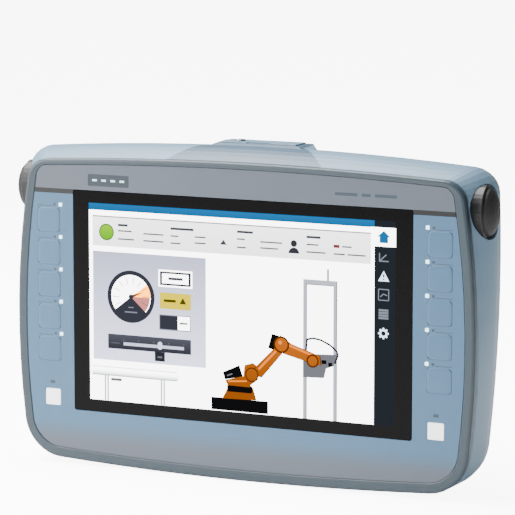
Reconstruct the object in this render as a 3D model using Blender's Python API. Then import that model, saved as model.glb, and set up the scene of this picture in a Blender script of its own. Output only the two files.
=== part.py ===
"""Hand-held industrial touch panel with membrane keys and two enabling buttons.

Run with: blender --background --python part.py, or from Blender's text editor.
Pieces are laid out in the panel's own frame: X to the right, Y from the front
plane into the housing, Z up from the middle of the display. One empty then
stands the panel on the ground with the world origin under its middle.
"""
import math
from collections import namedtuple

import bmesh
import bpy
from mathutils import Matrix, Vector

MM = 0.001
GAP = 0.3 * MM

# Display, the size anchor of the whole panel
DISPLAY_WIDTH = 195.0 * MM
DISPLAY_HEIGHT = 117.0 * MM
SURROUND_SIDE = 10.5 * MM
SURROUND_TOP = 7.3 * MM

# Rim of the front bezel: the master outline. A bow is the fall 100 mm from its crown
RIM_HALF_WIDTH = 145.6 * MM
RIM_WIDEST_Z = -12.0 * MM
RIM_TOP = 86.5 * MM
RIM_BOTTOM = -98.8 * MM
RIM_SIDE_BOW = 10.0 * MM
RIM_TOP_BOW = 2.2 * MM
RIM_BOTTOM_BOW = 2.5 * MM
RIM_TOP_RADIUS = 10.0 * MM
RIM_BOTTOM_RADIUS = 20.0 * MM

# Widest section of the rear housing
CREST_FLARE = 3.4 * MM
CREST_RISE = 7.5 * MM
CREST_HALF_WIDTH = RIM_HALF_WIDTH + CREST_FLARE
CREST_WIDEST_Z = 35.0 * MM
CREST_TOP = RIM_TOP + CREST_RISE
CREST_BOTTOM = RIM_BOTTOM
CREST_SIDE_BOW = 5.0 * MM
CREST_TOP_BOW = 2.95 * MM
CREST_BOTTOM_BOW = 2.5 * MM
CREST_TOP_RADIUS = 14.0 * MM
CREST_BOTTOM_RADIUS = 22.0 * MM

# Depths from the front plane
RECESS_DEPTH = 1.4 * MM
BEZEL_PLATE = 1.8 * MM
BEZEL_DEPTH = 5.0 * MM
CREST_DEPTH = 24.0 * MM
SHELL_DEPTH = 45.0 * MM
REAR_DEPTH = 68.0 * MM

# Walls and bands
BEZEL_WALL = 2.2 * MM
HOUSING_WALL = 2.6 * MM
RIM_BAND_TOP = 3.5 * MM
RIM_BAND_SIDE = 6.0 * MM
RIM_BAND_BOTTOM = 6.3 * MM
SEAM_SHALLOW = 0.15 * MM
SEAM_DEEP = 0.9 * MM

# Front foil, keys and lamps
FOIL_THICKNESS = 0.7 * MM
KEY_ROWS = 5
KEY_PITCH = 19.27 * MM
LAMP_X = 116.5 * MM
LAMP_TOP_Z = 56.2 * MM
LAMP_SIZE = 2.0 * MM
KEY_WIDTH = 14.5 * MM
KEY_HEIGHT = 14.0 * MM
KEY_RADIUS = 1.6 * MM
KEY_BELOW_LAMP = 2.2 * MM
KEY_RAISE = 0.3 * MM
KEY_TRAVEL = 0.4 * MM
KEY_POST_RADIUS = 2.5 * MM
LABEL_SIZE = 9.6 * MM
LABEL_X = 122.3 * MM
LABEL_Z = -59.0 * MM
LABEL_STRIP_LENGTH = 30.0 * MM

# Display stack and boards
GLASS_THICKNESS = 1.8 * MM
LCD_THICKNESS = 6.4 * MM
LCD_BORDER = 2.0 * MM
BOARD_THICKNESS = 1.6 * MM
KEY_BOARD_WIDTH = 20.0 * MM
KEY_BOARD_DEPTH = 5.2 * MM
MAIN_BOARD_WIDTH = 150.0 * MM
MAIN_BOARD_HEIGHT = 104.0 * MM
MAIN_BOARD_DEPTH = 16.0 * MM

# Enabling buttons
BUTTON_Z = 64.6 * MM
BUTTON_DEPTH = 17.5 * MM
BUTTON_HALF_HEIGHT = 13.8 * MM
BUTTON_HALF_DEPTH = 9.5 * MM
BUTTON_DOME = 6.0 * MM
SWITCH_SET_BACK = 17.0 * MM
SWITCH_FACE_X = CREST_HALF_WIDTH - SWITCH_SET_BACK
BUTTON_TRAVEL = 4.5 * MM
COLLAR_SET_BACK = 2.7 * MM
COLLAR_FACE_X = CREST_HALF_WIDTH - COLLAR_SET_BACK
COLLAR_WALL = 1.2 * MM

# Pedestal and blanking cap on the top
PEDESTAL_FRONT_HALF = 48.5 * MM
PEDESTAL_BACK_HALF = 34.0 * MM
PLATEAU_HALF = 28.0 * MM
PLATEAU_RISE = 0.9 * MM
PLATEAU_Z = CREST_TOP + PLATEAU_RISE
PLATEAU_FRONT = 25.0 * MM
PLATEAU_BACK = 42.0 * MM
CAP_WIDTH = 48.0 * MM
CAP_LENGTH = 14.0 * MM
CAP_THICKNESS = 2.6 * MM
CAP_RAISE = 0.8 * MM
CAP_SPIGOT_RADIUS = 6.0 * MM

# Rear block with the connection compartment
BLOCK_WIDTH = 164.0 * MM
BLOCK_TOP = 62.0 * MM
BLOCK_BOTTOM = -70.0 * MM
BLOCK_RADIUS = 20.0 * MM
COVER_WIDTH = 104.0 * MM
COVER_HEIGHT = 66.0 * MM
COVER_Z = 12.0 * MM
COVER_THICKNESS = 3.0 * MM
COVER_RADIUS = 7.0 * MM
GLAND_RADIUS = 8.5 * MM
GLAND_BORE = 4.2 * MM
GLAND_DEPTH = 54.0 * MM
PORT_COVER_X = 66.0 * MM
PORT_COVER_Z = -28.0 * MM
PORT_COVER_WIDTH = 20.0 * MM
PORT_COVER_HEIGHT = 13.0 * MM

# Fasteners
SCREW_RADIUS = 1.5 * MM
SCREW_HEAD_RADIUS = 3.0 * MM
SCREW_HEAD_HEIGHT = 2.0 * MM
HOUSING_SCREWS = ((98.0, 72.0), (116.0, -72.0), (45.0, -79.0))

Outline = namedtuple(
    "Outline",
    "half widest_z top bottom side_bow top_bow bottom_bow top_radius bottom_radius",
)
RIM = Outline(RIM_HALF_WIDTH, RIM_WIDEST_Z, RIM_TOP, RIM_BOTTOM, RIM_SIDE_BOW,
              RIM_TOP_BOW, RIM_BOTTOM_BOW, RIM_TOP_RADIUS, RIM_BOTTOM_RADIUS)
CREST = Outline(CREST_HALF_WIDTH, CREST_WIDEST_Z, CREST_TOP, CREST_BOTTOM, CREST_SIDE_BOW,
                CREST_TOP_BOW, CREST_BOTTOM_BOW, CREST_TOP_RADIUS, CREST_BOTTOM_RADIUS)


# ---------------------------------------------------------------- outlines

def bow(rise, distance):
    """Return how far a bowed edge falls away at a distance, given its fall at 100 mm."""
    return rise * (distance / (100.0 * MM)) ** 2


def corner_point(shape, upper):
    """Return where a bowed side meets the bowed top or bottom edge."""
    edge = shape.top if upper else shape.bottom
    sign = 1.0 if upper else -1.0
    fall = shape.top_bow if upper else shape.bottom_bow
    x = shape.half
    z = edge
    for _ in range(8):
        z = edge - sign * bow(fall, x)
        x = shape.half - bow(shape.side_bow, z - shape.widest_z)
    return x, z


def bezier(start, corner, end, steps):
    """Return the inner points of a rounded corner."""
    points = []
    for step in range(1, steps):
        t = step / steps
        a = [s + 0.56 * (c - s) for s, c in zip(start, corner)]
        b = [e + 0.56 * (c - e) for e, c in zip(end, corner)]
        weights = ((1 - t) ** 3, 3 * t * (1 - t) ** 2, 3 * t * t * (1 - t), t ** 3)
        points.append(tuple(
            weights[0] * p0 + weights[1] * p1 + weights[2] * p2 + weights[3] * p3
            for p0, p1, p2, p3 in zip(start, a, b, end)
        ))
    return points


def outline_points(shape):
    """Return the closed outline, clockwise from the crown of the top edge."""
    corner_x, corner_z = corner_point(shape, True)
    low_x, low_z = corner_point(shape, False)
    top_end = corner_x - shape.top_radius
    side_start = corner_z - shape.top_radius
    side_end = low_z + shape.bottom_radius
    low_end = low_x - shape.bottom_radius
    half = []
    for step in range(7):
        x = top_end * step / 6
        half.append((x, shape.top - bow(shape.top_bow, x)))

    def side(z):
        return shape.half - bow(shape.side_bow, z - shape.widest_z), z

    half += bezier(half[-1], (corner_x, corner_z), side(side_start), 6)
    for step in range(9):
        half.append(side(side_start + (side_end - side_start) * step / 8))
    bottom = (low_end, shape.bottom + bow(shape.bottom_bow, low_end))
    half += bezier(half[-1], (low_x, low_z), bottom, 8)
    for step in range(7):
        x = low_end * (1 - step / 6)
        half.append((x, shape.bottom + bow(shape.bottom_bow, x)))
    return half + [(-x, z) for x, z in reversed(half[1:-1])]


def normals(points):
    """Return the outward normal at each point of a closed outline."""
    result = []
    for index, _ in enumerate(points):
        before = points[index - 1]
        after = points[(index + 1) % len(points)]
        dx = after[0] - before[0]
        dz = after[1] - before[1]
        length = math.hypot(dx, dz)
        result.append((-dz / length, dx / length))
    return result


def grown(points, top, side=None, bottom=None):
    """Return the outline moved outward by its own amount at the top, sides and bottom."""
    side = top if side is None else side
    bottom = top if bottom is None else bottom
    moved = []
    for (x, z), (nx, nz) in zip(points, normals(points)):
        end = top if nz > 0 else bottom
        amount = side * nx * nx + end * nz * nz
        moved.append((x + amount * nx, z + amount * nz))
    return moved


def blended(first, second, share):
    """Return the outline part of the way from one to another."""
    return [
        (a[0] + (b[0] - a[0]) * share, a[1] + (b[1] - a[1]) * share)
        for a, b in zip(first, second)
    ]


def rounded_rectangle(width, height, radius, centre=(0.0, 0.0), steps=3):
    """Return a rounded rectangle, clockwise seen from the front."""
    points = []
    for turn, (sx, sz) in enumerate(((1, 1), (1, -1), (-1, -1), (-1, 1))):
        cx = centre[0] + sx * (width / 2 - radius)
        cz = centre[1] + sz * (height / 2 - radius)
        for step in range(steps + 1):
            angle = math.radians(90 - 90 * turn - 90 * step / steps)
            points.append((cx + radius * math.cos(angle), cz + radius * math.sin(angle)))
    return points


def ellipse(half_width, half_height, steps=32):
    """Return an ellipse, clockwise."""
    turns = [2 * math.pi * step / steps for step in range(steps)]
    return [(half_width * math.sin(t), half_height * math.cos(t)) for t in turns]


# ---------------------------------------------------------------- meshes

def loft(sections):
    """Return a closed mesh through (outline, depth) sections, capped at both ends."""
    mesh = bmesh.new()
    rings = []
    for points, depth in sections:
        rings.append([mesh.verts.new((x, depth, z)) for x, z in points])
    for first, second in zip(rings, rings[1:]):
        count = len(first)
        for index in range(count):
            following = (index + 1) % count
            mesh.faces.new((first[index], first[following], second[following], second[index]))
    mesh.faces.new(rings[0])
    mesh.faces.new(reversed(rings[-1]))
    bmesh.ops.recalc_face_normals(mesh, faces=mesh.faces)
    return mesh


def prism(points, front, back):
    """Return a straight plate between two depths."""
    return loft([(points, front), (points, back)])


def eased_prism(points, front, back, ease):
    """Return a plate whose front edge is eased all round."""
    return loft([(grown(points, -ease), front), (points, front + ease), (points, back)])


def block(size, centre, ease=0.0):
    """Return a box with eased edges."""
    mesh = bmesh.new()
    bmesh.ops.create_cube(mesh, size=1.0)
    bmesh.ops.scale(mesh, vec=size, verts=mesh.verts)
    if ease:
        bmesh.ops.bevel(mesh, geom=mesh.edges[:], offset=ease, segments=2, profile=0.5,
                        affect="EDGES")
    bmesh.ops.translate(mesh, vec=centre, verts=mesh.verts)
    return mesh


def turned(profile, steps=24, hollow=False):
    """Return a solid of revolution about Z from (radius, height) pairs.

    A hollow one closes its profile on itself; the others are capped at both ends.
    """
    mesh = bmesh.new()
    rings = []
    for radius, height in profile:
        if radius == 0:
            rings.append([mesh.verts.new((0, 0, height))])
            continue
        ring = []
        for step in range(steps):
            angle = 2 * math.pi * step / steps
            ring.append(mesh.verts.new((radius * math.cos(angle), radius * math.sin(angle), height)))
        rings.append(ring)
    pairs = list(zip(rings, rings[1:]))
    if hollow:
        pairs.append((rings[-1], rings[0]))
    for first, second in pairs:
        for step in range(steps):
            following = (step + 1) % steps
            corners = [first[step % len(first)], first[following % len(first)],
                       second[following % len(second)], second[step % len(second)]]
            mesh.faces.new(list(dict.fromkeys(corners)))
    for ring in () if hollow else (rings[0], rings[-1]):
        if len(ring) > 1:
            mesh.faces.new(ring)
    bmesh.ops.recalc_face_normals(mesh, faces=mesh.faces)
    return mesh


def aimed(mesh, axis, place):
    """Turn a mesh built along Z to point along an axis and move it into place."""
    turn = Vector((0, 0, 1)).rotation_difference(Vector(axis)).to_matrix().to_4x4()
    mesh.transform(Matrix.Translation(place) @ turn)
    return mesh


def along_x(points, start, end):
    """Return a plate whose outline lies in the Y-Z plane, between two X values."""
    mesh = prism(points, start, end)
    mesh.transform(Matrix(((0, 1, 0, 0), (1, 0, 0, 0), (0, 0, 1, 0), (0, 0, 0, 1))))
    bmesh.ops.recalc_face_normals(mesh, faces=mesh.faces)
    return mesh


def joined(meshes):
    """Return one mesh holding several separate ones, for use as a cutter."""
    result = bmesh.new()
    for mesh in meshes:
        piece = bpy.data.meshes.new("piece")
        mesh.to_mesh(piece)
        mesh.free()
        result.from_mesh(piece)
        bpy.data.meshes.remove(piece)
    return result


# ---------------------------------------------------------------- scene

def clear_scene():
    """Remove every object of the scene."""
    for item in list(bpy.data.objects):
        bpy.data.objects.remove(item, do_unlink=True)


def material(name, colour, roughness, metallic=0.0, transmission=0.0):
    """Return a named Principled material."""
    made = bpy.data.materials.new(name)
    made.use_nodes = True
    shader = made.node_tree.nodes["Principled BSDF"]
    shader.inputs["Base Color"].default_value = (*colour, 1.0)
    shader.inputs["Roughness"].default_value = roughness
    shader.inputs["Metallic"].default_value = metallic
    shader.inputs["Transmission Weight"].default_value = transmission
    made.diffuse_color = (*colour, 1.0)
    return made


def add(name, mesh, finish, parent, origin=(0, 0, 0), smooth=35):
    """Add a named object with its origin at a place in the panel's frame."""
    bmesh.ops.translate(mesh, vec=-Vector(origin), verts=mesh.verts)
    data = bpy.data.meshes.new(name)
    mesh.to_mesh(data)
    mesh.free()
    for face in data.polygons:
        face.use_smooth = True
    data.set_sharp_from_angle(angle=math.radians(smooth))
    data.materials.append(finish)
    item = bpy.data.objects.new(name, data)
    bpy.context.scene.collection.objects.link(item)
    item.parent = parent
    item.location = origin
    return item


def shape_with(target, meshes, operation, label):
    """Cut meshes out of an object, or join them to it."""
    tool = add(target.name + "_" + label, joined(meshes), target.data.materials[0],
               target.parent)
    tool.hide_render = True
    tool.display_type = "WIRE"
    modifier = target.modifiers.new(label, "BOOLEAN")
    modifier.operation = operation
    modifier.solver = "EXACT"
    modifier.use_self = True
    modifier.object = tool


def cut(target, meshes, label="cut"):
    """Cut meshes out of an object."""
    shape_with(target, meshes, "DIFFERENCE", label)


def fuse(target, meshes, label="fuse"):
    """Join meshes to an object as one solid."""
    shape_with(target, meshes, "UNION", label)


# ---------------------------------------------------------------- shared places

RIM_POINTS = outline_points(RIM)
CREST_POINTS = outline_points(CREST)
PLATE_BACK = RECESS_DEPTH + BEZEL_PLATE
FOIL_FRONT = RECESS_DEPTH - GAP - FOIL_THICKNESS
SURROUND_WIDTH = DISPLAY_WIDTH + 2 * SURROUND_SIDE
SURROUND_HEIGHT = DISPLAY_HEIGHT + 2 * SURROUND_TOP
GLASS_BACK = FOIL_FRONT + GLASS_THICKNESS
LCD_FRONT = GLASS_BACK + GAP
LCD_BACK = LCD_FRONT + LCD_THICKNESS
KEY_X = LAMP_X + 0.5 * MM + KEY_WIDTH / 2
KEY_STROKE_END = KEY_BOARD_DEPTH - 0.5 * MM
SIDES = (("left", -1), ("right", 1))


def lamp_z(row):
    """Return the height of a key lamp, row 0 at the top."""
    return LAMP_TOP_Z - row * KEY_PITCH


def key_z(row):
    """Return the height of the middle of a key."""
    return lamp_z(row) - KEY_BELOW_LAMP - KEY_HEIGHT / 2


def housing_screw_places():
    """Return the (x, z) places of the housing screws, mirrored left and right."""
    places = []
    for x, z in HOUSING_SCREWS:
        places.append((-x * MM, z * MM))
        places.append((x * MM, z * MM))
    return places


def foil_outline():
    """Return the outline of the recess that holds the foil."""
    return grown(RIM_POINTS, -RIM_BAND_TOP, -RIM_BAND_SIDE, -RIM_BAND_BOTTOM)


def seam_outline(points):
    """Return an outline drawn in for the seam, deeper on the lower half."""
    moved = []
    for (x, z), (nx, nz) in zip(points, normals(points)):
        share = min(1.0, max(0.0, (10 * MM - z) / (35 * MM)))
        depth = SEAM_SHALLOW + (SEAM_DEEP - SEAM_SHALLOW) * share
        moved.append((x - depth * nx, z - depth * nz))
    return moved


# ---------------------------------------------------------------- front

def build_bezel(parent, finish):
    """Build the front frame: rim, recess floor, openings and screw bosses."""
    recess = foil_outline()
    inner = grown(RIM_POINTS, -BEZEL_WALL)
    seam = seam_outline(RIM_POINTS)
    bezel = add("front_bezel", loft([
        (recess, RECESS_DEPTH),
        (recess, 0.5 * MM),
        (grown(recess, 0.5 * MM), 0.15 * MM),
        (grown(RIM_POINTS, -1.8 * MM), 0.0),
        (grown(RIM_POINTS, -0.6 * MM), 0.3 * MM),
        (RIM_POINTS, 1.3 * MM),
        (RIM_POINTS, BEZEL_DEPTH - 1.0 * MM),
        (seam, BEZEL_DEPTH - 0.6 * MM),
        (seam, BEZEL_DEPTH),
        (inner, BEZEL_DEPTH),
        (inner, PLATE_BACK),
    ]), finish, parent)
    fuse(bezel, [
        aimed(turned([(3.6 * MM, 0), (3.6 * MM, 10 * MM)], 16), (0, 1, 0),
              (x, PLATE_BACK - 0.5 * MM, z))
        for x, z in housing_screw_places()
    ], "bosses")
    front = RECESS_DEPTH - 1 * MM
    back = PLATE_BACK + 1 * MM
    opening = rounded_rectangle(SURROUND_WIDTH, SURROUND_HEIGHT, 1.5 * MM)
    cutters = [prism(opening, front, back)]
    for _, side in SIDES:
        for row in range(KEY_ROWS):
            place = (side * KEY_X, front, key_z(row))
            radius = KEY_POST_RADIUS + 0.4 * MM
            cutters.append(aimed(turned([(radius, 0), (radius, back - front)], 12),
                                 (0, 1, 0), place))
            cutters.append(block((LAMP_SIZE + 2 * GAP, 6 * MM, LAMP_SIZE + 2 * GAP),
                                 (side * LAMP_X, RECESS_DEPTH, lamp_z(row))))
        cutters.append(block((LABEL_SIZE + 3 * MM, 1.8 * MM, LABEL_STRIP_LENGTH),
                             (side * LABEL_X, RECESS_DEPTH, LABEL_Z)))
    for x, z in housing_screw_places():
        cutters.append(aimed(turned([(SCREW_RADIUS + 0.1 * MM, 0),
                                     (SCREW_RADIUS + 0.1 * MM, 10 * MM)], 12),
                             (0, 1, 0), (x, PLATE_BACK + 0.6 * MM, z)))
    cut(bezel, cutters)


def build_foil(parent, finish):
    """Build the printed front foil with its openings."""
    outline = grown(foil_outline(), -GAP)
    foil = add("front_foil", prism(outline, FOIL_FRONT, FOIL_FRONT + FOIL_THICKNESS),
               finish, parent)
    front = FOIL_FRONT - 1 * MM
    back = FOIL_FRONT + FOIL_THICKNESS + 1 * MM
    cutters = [prism(rounded_rectangle(SURROUND_WIDTH, SURROUND_HEIGHT, 1.5 * MM), front, back)]
    for _, side in SIDES:
        for row in range(KEY_ROWS):
            key = rounded_rectangle(KEY_WIDTH + 2 * GAP, KEY_HEIGHT + 2 * GAP,
                                    KEY_RADIUS + GAP, (side * KEY_X, key_z(row)))
            cutters.append(prism(key, front, back))
            lamp = rounded_rectangle(LAMP_SIZE + 2 * GAP, LAMP_SIZE + 2 * GAP, 0.3 * MM,
                                     (side * LAMP_X, lamp_z(row)), 2)
            cutters.append(prism(lamp, front, back))
        label = rounded_rectangle(LABEL_SIZE + 2 * GAP, LABEL_SIZE + 2 * GAP, 0.6 * MM,
                                  (side * LABEL_X, LABEL_Z), 2)
        cutters.append(prism(label, front, back))
    cut(foil, cutters)


def build_keys(parent, finish):
    """Build the ten membrane keys, each a raised pad on a plunger."""
    pad_front = FOIL_FRONT - KEY_RAISE
    pad_back = RECESS_DEPTH - GAP - KEY_TRAVEL
    for name, side in SIDES:
        for row in range(KEY_ROWS):
            centre = (side * KEY_X, key_z(row))
            pad = rounded_rectangle(KEY_WIDTH, KEY_HEIGHT, KEY_RADIUS, centre)
            key = add(f"key_{name}_{row + 1}", eased_prism(pad, pad_front, pad_back, 0.25 * MM),
                      finish, parent, (centre[0], pad_front, centre[1]))
            post_start = (pad_front + pad_back) / 2
            post_end = KEY_STROKE_END - GAP - KEY_TRAVEL
            fuse(key, [aimed(turned([(KEY_POST_RADIUS, 0),
                                     (KEY_POST_RADIUS, post_end - post_start)], 12),
                             (0, 1, 0), (centre[0], post_start, centre[1]))], "post")


def build_lamp_guides(parent, finish):
    """Build a light guide on each side, one strip with a pip for each key lamp."""
    for name, side in SIDES:
        middle = lamp_z((KEY_ROWS - 1) / 2)
        strip = block((3 * MM, 0.8 * MM, (KEY_ROWS - 1) * KEY_PITCH + 6 * MM),
                      (side * LAMP_X, PLATE_BACK + GAP + 0.4 * MM, middle))
        guide = add(f"lamp_guide_{name}", strip, finish, parent)
        pips = []
        for row in range(KEY_ROWS):
            length = PLATE_BACK + GAP + 0.4 * MM - FOIL_FRONT
            pips.append(block((LAMP_SIZE, length, LAMP_SIZE),
                              (side * LAMP_X, FOIL_FRONT + length / 2, lamp_z(row))))
        fuse(guide, pips, "pips")


def build_labels(parent, lens_finish, strip_finish):
    """Build the label strip and its clear window at each lower corner."""
    for name, side in SIDES:
        window = rounded_rectangle(LABEL_SIZE, LABEL_SIZE, 0.5 * MM, (side * LABEL_X, LABEL_Z), 2)
        add(f"label_window_{name}", prism(window, FOIL_FRONT, FOIL_FRONT + FOIL_THICKNESS),
            lens_finish, parent)
        add(f"label_strip_{name}",
            block((LABEL_SIZE + 2.2 * MM, 0.5 * MM, LABEL_STRIP_LENGTH - 0.8 * MM),
                  (side * LABEL_X, RECESS_DEPTH + 0.25 * MM, LABEL_Z)), strip_finish, parent)


def build_display(parent, finishes):
    """Build the touch glass, the display module, its bracket and the shield plate."""
    glass = rounded_rectangle(SURROUND_WIDTH - 2 * GAP, SURROUND_HEIGHT - 2 * GAP, 1.2 * MM)
    add("touch_glass", prism(glass, FOIL_FRONT, GLASS_BACK), finishes["glass"], parent)
    module_width = DISPLAY_WIDTH + 2 * LCD_BORDER
    module_height = DISPLAY_HEIGHT + 2 * LCD_BORDER
    add("display_module",
        block((module_width, LCD_THICKNESS, module_height),
              (0, (LCD_FRONT + LCD_BACK) / 2, 0), 0.4 * MM), finishes["dark"], parent)
    bracket_front = PLATE_BACK + GAP
    bracket = add("display_bracket",
                  prism(rounded_rectangle(SURROUND_WIDTH + 11 * MM, SURROUND_HEIGHT + 4 * MM,
                                          3 * MM), bracket_front, bracket_front + 1 * MM),
                  finishes["steel"], parent)
    cut(bracket, [block((module_width + 2 * GAP, 6 * MM, module_height + 2 * GAP),
                        (0, bracket_front, 0))])
    shield_front = LCD_BACK + GAP
    shield = add("shield_plate", block((MAIN_BOARD_WIDTH + 6 * MM, 1 * MM, MAIN_BOARD_HEIGHT + 6 * MM),
                                       (0, shield_front + 0.5 * MM, 0)), finishes["steel"], parent)
    fuse(shield, [
        aimed(turned([(2.5 * MM, 0), (2.5 * MM, MAIN_BOARD_DEPTH - GAP - shield_front)], 12),
              (0, 1, 0), (sx * (MAIN_BOARD_WIDTH / 2 - 5 * MM), shield_front,
                          sz * (MAIN_BOARD_HEIGHT / 2 - 5 * MM)))
        for sx in (-1, 1) for sz in (-1, 1)
    ], "standoffs")


def build_boards(parent, finishes):
    """Build the main board with its parts and the two key boards with their domes."""
    depth = MAIN_BOARD_DEPTH
    board = add("main_board", block((MAIN_BOARD_WIDTH, BOARD_THICKNESS, MAIN_BOARD_HEIGHT),
                                    (0, depth + BOARD_THICKNESS / 2, 0)), finishes["board"], parent)
    back = depth + BOARD_THICKNESS
    fuse(board, [
        block((30 * MM, 4 * MM, 30 * MM), (-20 * MM, back + 1.5 * MM, 20 * MM)),
        block((16 * MM, 3 * MM, 12 * MM), (22 * MM, back + 1 * MM, 26 * MM)),
        block((16 * MM, 3 * MM, 12 * MM), (22 * MM, back + 1 * MM, 8 * MM)),
        block((12 * MM, 8 * MM, 20 * MM), (-58 * MM, back + 3.5 * MM, -20 * MM)),
        block((24 * MM, 6 * MM, 9 * MM), (56 * MM, back + 2.5 * MM, 38 * MM)),
    ], "chips")
    height = KEY_ROWS * KEY_PITCH + 10 * MM
    for name, side in SIDES:
        middle = (lamp_z(0) + key_z(KEY_ROWS - 1)) / 2
        x = side * (LAMP_X - 3 * MM + KEY_BOARD_WIDTH / 2)
        item = add(f"key_board_{name}",
                   block((KEY_BOARD_WIDTH, BOARD_THICKNESS, height),
                         (x, KEY_BOARD_DEPTH + BOARD_THICKNESS / 2, middle)),
                   finishes["board"], parent)
        fuse(item, [
            aimed(turned([(3.2 * MM, 1.0 * MM), (3.2 * MM, 0.3 * MM), (2 * MM, 0), (0, 0)], 16),
                  (0, 1, 0), (side * KEY_X, KEY_STROKE_END, key_z(row)))
            for row in range(KEY_ROWS)
        ], "domes")


# ---------------------------------------------------------------- rear housing

HOUSING_FRONT = BEZEL_DEPTH + GAP
REAR_WALL = 6.5 * MM
REAR_CLOSE = ((31.0, 0.8), (37.0, 2.6), (42.0, 6.0))
REAR_FLAT_INSET = 11.0 * MM
COVER_SEAL = 1.0 * MM
COVER_LEDGE = 9.0 * MM
REBATE_DEPTH = COVER_THICKNESS + COVER_SEAL + 2 * GAP
CAP_Y = (PLATEAU_FRONT + PLATEAU_BACK) / 2


def side_sections(outset, steps):
    """Return the housing's sections from the seam to the flat rear, moved outward."""
    sections = []
    for step in range(1, steps + 1):
        share = step / steps
        depth = HOUSING_FRONT + 1.0 * MM + (CREST_DEPTH - HOUSING_FRONT - 1.0 * MM) * share
        flare = math.sin(math.pi / 2 * share)
        sections.append((grown(blended(RIM_POINTS, CREST_POINTS, flare), outset), depth))
    for depth, inset in REAR_CLOSE:
        sections.append((grown(CREST_POINTS, outset - inset * MM), depth * MM))
    return sections


def block_outline(inset):
    """Return the outline of the raised rear block, drawn in by an inset."""
    height = BLOCK_TOP - BLOCK_BOTTOM
    middle = (BLOCK_TOP + BLOCK_BOTTOM) / 2
    return rounded_rectangle(BLOCK_WIDTH - 2 * inset, height - 2 * inset,
                             BLOCK_RADIUS - inset, (0, middle), 6)


def pedestal():
    """Return the sloped boss that carries the blanking cap."""
    foot = RIM_TOP - bow(RIM_TOP_BOW, PEDESTAL_FRONT_HALF) - 0.2 * MM
    inside = CREST_TOP - 10 * MM
    front = HOUSING_FRONT + 1.2 * MM
    mesh = bmesh.new()
    for side in (-1, 1):
        for x, y, z in (
            (PEDESTAL_FRONT_HALF, front, foot),
            (PEDESTAL_FRONT_HALF - 3 * MM, front, inside),
            (PLATEAU_HALF - 2 * MM, PLATEAU_FRONT, PLATEAU_Z),
            (PLATEAU_HALF, PLATEAU_BACK, PLATEAU_Z),
            (PEDESTAL_BACK_HALF, PLATEAU_BACK + 2 * MM, inside),
        ):
            mesh.verts.new((side * x, y, z))
    hull = bmesh.ops.convex_hull(mesh, input=mesh.verts[:])
    leftover = {item for item in hull["geom_interior"] + hull["geom_unused"]
                if isinstance(item, bmesh.types.BMVert)}
    bmesh.ops.delete(mesh, geom=list(leftover), context="VERTS")
    bmesh.ops.recalc_face_normals(mesh, faces=mesh.faces)
    return mesh


def build_housing(parent, finish):
    """Build the rear housing: flared shell, rear block, pedestal and all openings."""
    seam = seam_outline(RIM_POINTS)
    outer = [(seam, HOUSING_FRONT), (seam, HOUSING_FRONT + 0.4 * MM),
             (RIM_POINTS, HOUSING_FRONT + 1.0 * MM)]
    outer += side_sections(0.0, 5)
    outer.append((grown(CREST_POINTS, -REAR_FLAT_INSET), SHELL_DEPTH))
    inner = [(grown(RIM_POINTS, -HOUSING_WALL), HOUSING_FRONT)]
    inner += side_sections(-HOUSING_WALL, 3)
    inner.append((grown(CREST_POINTS, -REAR_FLAT_INSET), SHELL_DEPTH - HOUSING_WALL))
    housing = add("rear_housing", loft(list(reversed(inner)) + outer), finish, parent)
    raised = loft([
        (block_outline(0.0), SHELL_DEPTH - 1.5 * MM),
        (block_outline(1.2 * MM), REAR_DEPTH - 6 * MM),
        (block_outline(3.0 * MM), REAR_DEPTH - 2 * MM),
        (block_outline(5.5 * MM), REAR_DEPTH),
    ])
    bosses = [
        aimed(turned([(4.4 * MM, 0), (4.4 * MM, 8 * MM)], 16), (0, 1, 0),
              (x, SHELL_DEPTH - 9 * MM, z))
        for x, z in housing_screw_places()
    ]
    fuse(housing, [raised, pedestal()] + bosses, "raised")
    cut(housing, housing_cutters())


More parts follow.
